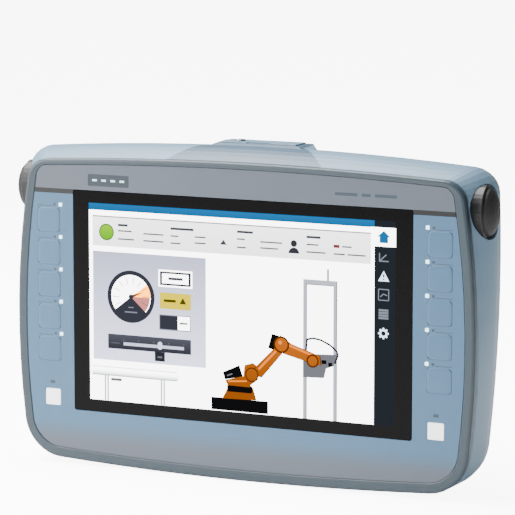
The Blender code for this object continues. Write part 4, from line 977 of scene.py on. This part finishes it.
ROBOT_FOOT = ((-10.7, -50.9), (11.2, -50.4), (9.0, -43.3), (-6.7, -43.5))
ROBOT_TURRET = ((-8.9, -40.0), (-7.0, -42.9), (6.9, -43.1), (9.0, -38.6), (4.7, -36.3))
ROBOT_MOTOR = ((-10.3, -35.5), (-8.9, -39.7), (2.5, -37.1), (0.3, -30.6))
ROBOT_SHOULDER = ((2.8, -37.1), (6.9, -42.1), (12.0, -38.4), (13.4, -31.6), (9.0, -28.6), (3.6, -30.3))
ROBOT_ARM = ((10.5, -35.8), (14.9, -36.1), (27.9, -21.1), (22.8, -18.9), (10.5, -31.1))
ROBOT_BOX = ((18.5, -19.2), (22.8, -20.2), (25.7, -11.7), (21.0, -10.7))
ROBOT_FOREARM = ((28.6, -21.7), (43.7, -25.2), (51.6, -26.6), (50.8, -21.4), (33.7, -16.0), (26.4, -11.3))
GRIPPER_PLATE = ((40.5, -34.4), (53.7, -34.0), (55.1, -28.3), (59.7, -26.6), (61.5, -19.9), (40.5, -20.8))
GRIPPER_LOOP = ((42.3, -20.4), (43.0, -12.4), (46.6, -11.4), (51.4, -12.0), (57.4, -14.6), (61.6, -18.0),
                (62.4, -20.0), (60.4, -25.2))


# ---------------------------------------------------------------- studio

def area_light(name, place, target, size, power, colour=(1.0, 1.0, 1.0)):
    """Add a square soft light aimed at a point."""
    data = bpy.data.lights.new(name, "AREA")
    data.size = size
    data.energy = power
    data.color = colour
    made = bpy.data.objects.new(name, data)
    made.location = place
    made.rotation_euler = (Vector(target) - Vector(place)).to_track_quat("-Z", "Y").to_euler()
    bpy.context.scene.collection.objects.link(made)
    return made


class TOUCHPANEL_OT_studio(bpy.types.Operator):
    """Set up the floor, the lights and the camera"""
    bl_idname = "touch_panel.studio"
    bl_label = "Studio"

    def execute(self, context):
        settings = context.scene.touch_panel_studio
        floor_mesh = bmesh.new()
        bmesh.ops.create_grid(floor_mesh, x_segments=2, y_segments=2, size=FLOOR_HALF)
        data = bpy.data.meshes.new("floor")
        floor_mesh.to_mesh(data)
        floor_mesh.free()
        data.materials.append(floor_finish())
        floor = bpy.data.objects.new("floor", data)
        context.scene.collection.objects.link(floor)
        context.scene.world = studio_world()
        middle = (0.0, 0.0, SCREEN_Z)
        area_light("key", KEY_PLACE, middle, KEY_SIZE, settings.key_power)
        area_light("overhead", TOP_PLACE, middle, TOP_SIZE, settings.top_power)
        area_light("fill", FILL_PLACE, middle, FILL_SIZE, settings.fill_power)
        add_camera(context.scene, settings)
        return {"FINISHED"}


def studio_world():
    """Return an even white world that lights softly and looks near white behind the object."""
    world = bpy.data.worlds.new("studio")
    world.use_nodes = True
    tree = world.node_tree
    path = add_node(tree, "ShaderNodeLightPath")
    strength = add_node(tree, "ShaderNodeMapRange")
    tree.links.new(path.outputs["Is Camera Ray"], strength.inputs["Value"])
    strength.inputs["To Min"].default_value = SKY_LIGHT
    strength.inputs["To Max"].default_value = BACKDROP_LIGHT
    sky = tree.nodes["Background"]
    sky.inputs["Color"].default_value = (1.0, 1.0, 1.0, 1.0)
    tree.links.new(strength.outputs["Result"], sky.inputs["Strength"])
    return world


def floor_finish():
    """Return the pale floor, lifted towards the backdrop's white where the camera sees it."""
    made, tree, shader = principled("studio floor")
    node = place_group(tree, "moulded", Colour=(0.88, 0.88, 0.88), Roughness=0.7, Grain_Scale=60.0,
                       Mottle=0.01)
    tree.links.new(node.outputs["Colour"], shader.inputs["Base Color"])
    tree.links.new(node.outputs["Roughness"], shader.inputs["Roughness"])
    path = add_node(tree, "ShaderNodeLightPath")
    lift = math_node(tree, "MULTIPLY", path.outputs["Is Camera Ray"], FLOOR_LIFT)
    shader.inputs["Emission Color"].default_value = (1.0, 1.0, 1.0, 1.0)
    tree.links.new(lift, shader.inputs["Emission Strength"])
    return made


KEY_PLACE = (-1.1, -0.9, 0.6)
KEY_SIZE = 0.8
TOP_PLACE = (-0.5, -0.1, 1.15)
TOP_SIZE = 0.9
FILL_PLACE = (1.3, -0.4, 0.5)
FILL_SIZE = 0.7
FLOOR_HALF = 6.0
SKY_LIGHT = 0.38
BACKDROP_LIGHT = 14.0
FLOOR_LIFT = 8.0


def add_camera(scene, settings):
    """Add the camera, looking level-headed at the aim from its turn and height."""
    back = Vector((math.sin(settings.azimuth) * math.cos(settings.elevation),
                   -math.cos(settings.azimuth) * math.cos(settings.elevation),
                   math.sin(settings.elevation)))
    data = bpy.data.cameras.new("camera")
    data.lens = settings.lens
    camera = bpy.data.objects.new("camera", data)
    camera.location = Vector(settings.aim) + back * settings.distance
    camera.rotation_euler = back.to_track_quat("Z", "Y").to_euler()
    scene.collection.objects.link(camera)
    scene.camera = camera


# ---------------------------------------------------------------- add-on

class TOUCHPANEL_PT_tools(bpy.types.Panel):
    """List the touch panel's settings and steps"""
    bl_idname = "TOUCHPANEL_PT_tools"
    bl_label = "Touch Panel"
    bl_space_type = "VIEW_3D"
    bl_region_type = "UI"
    bl_category = "Touch Panel"

    def draw(self, context):
        for group, kind in SETTINGS:
            box = self.layout.box()
            for name in kind.__annotations__:
                box.prop(getattr(context.scene, group), name)
        for step in STEPS:
            self.layout.operator(step.bl_idname)


SETTINGS = (("touch_panel_finishes", TouchPanelFinishes), ("touch_panel_picture", TouchPanelPicture),
            ("touch_panel_studio", TouchPanelStudio), ("touch_panel_detail", TouchPanelDetail))
STEPS = (TOUCHPANEL_OT_case, TOUCHPANEL_OT_film, TOUCHPANEL_OT_keys, TOUCHPANEL_OT_rubber,
         TOUCHPANEL_OT_hardware, TOUCHPANEL_OT_electronics, TOUCHPANEL_OT_glass,
         TOUCHPANEL_OT_status, TOUCHPANEL_OT_menu, TOUCHPANEL_OT_controls,
         TOUCHPANEL_OT_machine, TOUCHPANEL_OT_studio)
CLASSES = tuple(kind for _, kind in SETTINGS) + STEPS + (TOUCHPANEL_PT_tools,)


def register():
    """Register the classes and hang the settings on the scene."""
    for kind in CLASSES:
        bpy.utils.register_class(kind)
    for group, kind in SETTINGS:
        setattr(bpy.types.Scene, group, PointerProperty(type=kind))


def unregister():
    """Take the settings and the classes away again."""
    for group, _ in SETTINGS:
        delattr(bpy.types.Scene, group)
    for kind in reversed(CLASSES):
        bpy.utils.unregister_class(kind)


def main():
    """Register the add-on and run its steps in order."""
    register()
    for step in STEPS:
        module, name = step.bl_idname.split(".")
        getattr(getattr(bpy.ops, module), name)()


if __name__ == "__main__":
    main()
